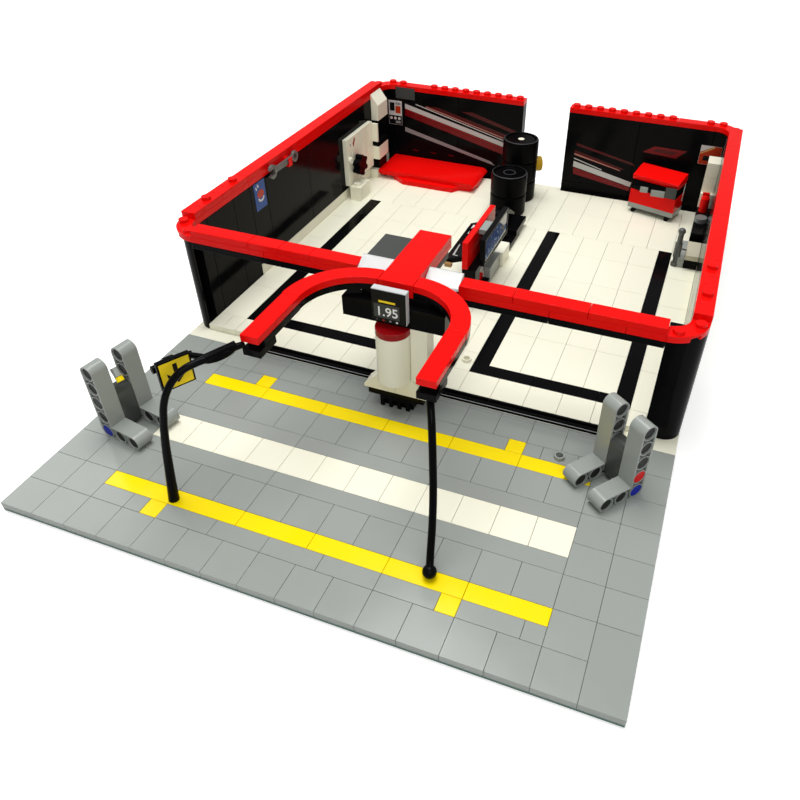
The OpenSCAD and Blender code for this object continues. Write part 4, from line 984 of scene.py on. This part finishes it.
screenMarks = {  # on the screen's face: ink, then y and z of the corners
    "pale_top": ("paleInk", [(236.5, 45.0), (246.0, 38.4), (251.0, 38.0), (251.0, 45.0)]),
    "pale_foot": ("paleInk", [(211.4, 32.6), (251.0, 32.6), (251.0, 34.3), (211.4, 33.3)]),
    "dark_top": ("blackInk", [(246.4, 38.2), (241.5, 41.4), (240.6, 38.6), (246.0, 35.6)]),
}
deskScreen = {"face": 138.5, "markThick": 0.05}
for name, (colour, points) in screenMarks.items():
    corners = [at(deskScreen["face"], y, z) for y, z in points]
    lift = (deskScreen["markThick"] * mm, 0, 0)
    sheetPiece("screen_" + name, corners, lift, "garage", "blue_screen", inks[colour])

consoleTop = {"x": 126.74, "z": 35.4, "slope": 0.4286, "markThick": 0.08, "ringThick": 0.1}


def onConsole(points):  # the top leans down to the left from its high edge
    return [at(x, y, consoleTop["z"] - (consoleTop["x"] - x) * consoleTop["slope"]) for x, y in points]


consoleMarks = {  # ink, then x and y of the corners
    "tail": ("whiteInk", [(114.3, 250.3), (117.4, 249.2), (119.2, 240.1), (117.6, 241.5)]),
    "line": ("paleInk", [(118.9, 213.6), (118.1, 227.6), (118.9, 226.8), (120.3, 212.6)]),
    "line_foot": ("paleInk", [(118.9, 213.6), (123.0, 210.6), (122.5, 211.7), (119.5, 213.8)]),
}
consoleRing = {"outer": (117.0, 250.0, 2.7, 2.9), "inner": (117.0, 250.0, 1.1, 1.2), "from": -70, "to": 250}
for name, (colour, points) in consoleMarks.items():
    lift = (0, 0, consoleTop["markThick"] * mm)
    sheetPiece("console_" + name, onConsole(points), lift, "garage", "white_plastic", inks[colour])
first, last = consoleRing["from"], consoleRing["to"]
ringLine = ovalLine(*consoleRing["outer"], first, last) + ovalLine(*consoleRing["inner"], last, first)
lift = (0, 0, consoleTop["ringThick"] * mm)
sheetPiece("console_ring", onConsole(ringLine), lift, "garage", "white_plastic", inks["whiteInk"])
tanBlock = ((116.4, 120.4), (207.4, 209.8), (27.6, 29.8))
blockPiece("console_tan", tanBlock, "garage", "yellow_plastic", inks["tanInk"])
print("small bricks ready")


# studio
floorSet = {"size": 6.0, "z": -0.0002, "colour": (0.82, 0.82, 0.81, 1), "rough": 0.6, "glow": 0.42}
worldLight = 0.32
lampSet = {  # place, aim, size, power
    "keyLamp": ((-0.12, 0.08, 1.25), (0, 0.02, 0), (0.8, 0.8), 13.2),
    "frontLamp": ((0.5, -1.0, 0.9), (0, 0, 0), (0.9, 0.6), 4.5),
    "sideLamp": ((-1.1, 0.3, 0.9), (0, 0, 0), (0.5, 0.5), 2.5),
}


def makeFloor(s):
    bm = bmesh.new()
    bmesh.ops.create_grid(bm, x_segments=1, y_segments=1, size=s["size"])
    bmesh.ops.translate(bm, verts=bm.verts, vec=(0, 0, s["z"]))
    mesh = bpy.data.meshes.new("floor")
    bm.to_mesh(mesh)
    bm.free()
    floor = bpy.data.objects.new("floor", mesh)
    bpy.context.scene.collection.objects.link(floor)
    material = bpy.data.materials.new("paleFloor")
    material.use_nodes = True
    tree = material.node_tree
    shader = tree.nodes["Principled BSDF"]
    shader.inputs["Base Color"].default_value = s["colour"]
    shader.inputs["Roughness"].default_value = s["rough"]
    seen = tree.nodes.new("ShaderNodeLightPath")
    shader.inputs["Emission Color"].default_value = (1, 1, 1, 1)
    lift = tree.nodes.new("ShaderNodeMath")
    lift.operation = "MULTIPLY"
    lift.inputs[1].default_value = s["glow"]
    link(tree, seen.outputs["Is Camera Ray"], lift.inputs[0])
    link(tree, lift.outputs[0], shader.inputs["Emission Strength"])
    mesh.materials.append(material)


def makeWorld(level):  # white where the camera sees it, dimmer as a light
    world = bpy.data.worlds.new("studio")
    world.use_nodes = True
    bpy.context.scene.world = world
    tree = world.node_tree
    back = tree.nodes["Background"]
    back.inputs["Color"].default_value = (1, 1, 1, 1)
    rays = tree.nodes.new("ShaderNodeLightPath")
    seen = tree.nodes.new("ShaderNodeMath")
    seen.operation = "MAXIMUM"
    link(tree, rays.outputs["Is Camera Ray"], seen.inputs[0])
    link(tree, rays.outputs["Is Transmission Ray"], seen.inputs[1])
    link(tree, rangeNode(tree, seen.outputs[0], level, 1.0), back.inputs["Strength"])


def makeLamp(name, place, aim, size, power):
    data = bpy.data.lights.new(name, "AREA")
    data.shape = "RECTANGLE"
    data.size, data.size_y = size
    data.energy = power
    lamp = bpy.data.objects.new(name, data)
    bpy.context.scene.collection.objects.link(lamp)
    lamp.location = place
    lamp.rotation_mode = "QUATERNION"
    lamp.rotation_quaternion = (Vector(aim) - Vector(place)).to_track_quat("-Z", "Y")


makeFloor(floorSet)
makeWorld(worldLight)
for name, row in lampSet.items():
    makeLamp(name, *row)
bpy.context.scene.view_settings.view_transform = "Standard"
print("studio ready")
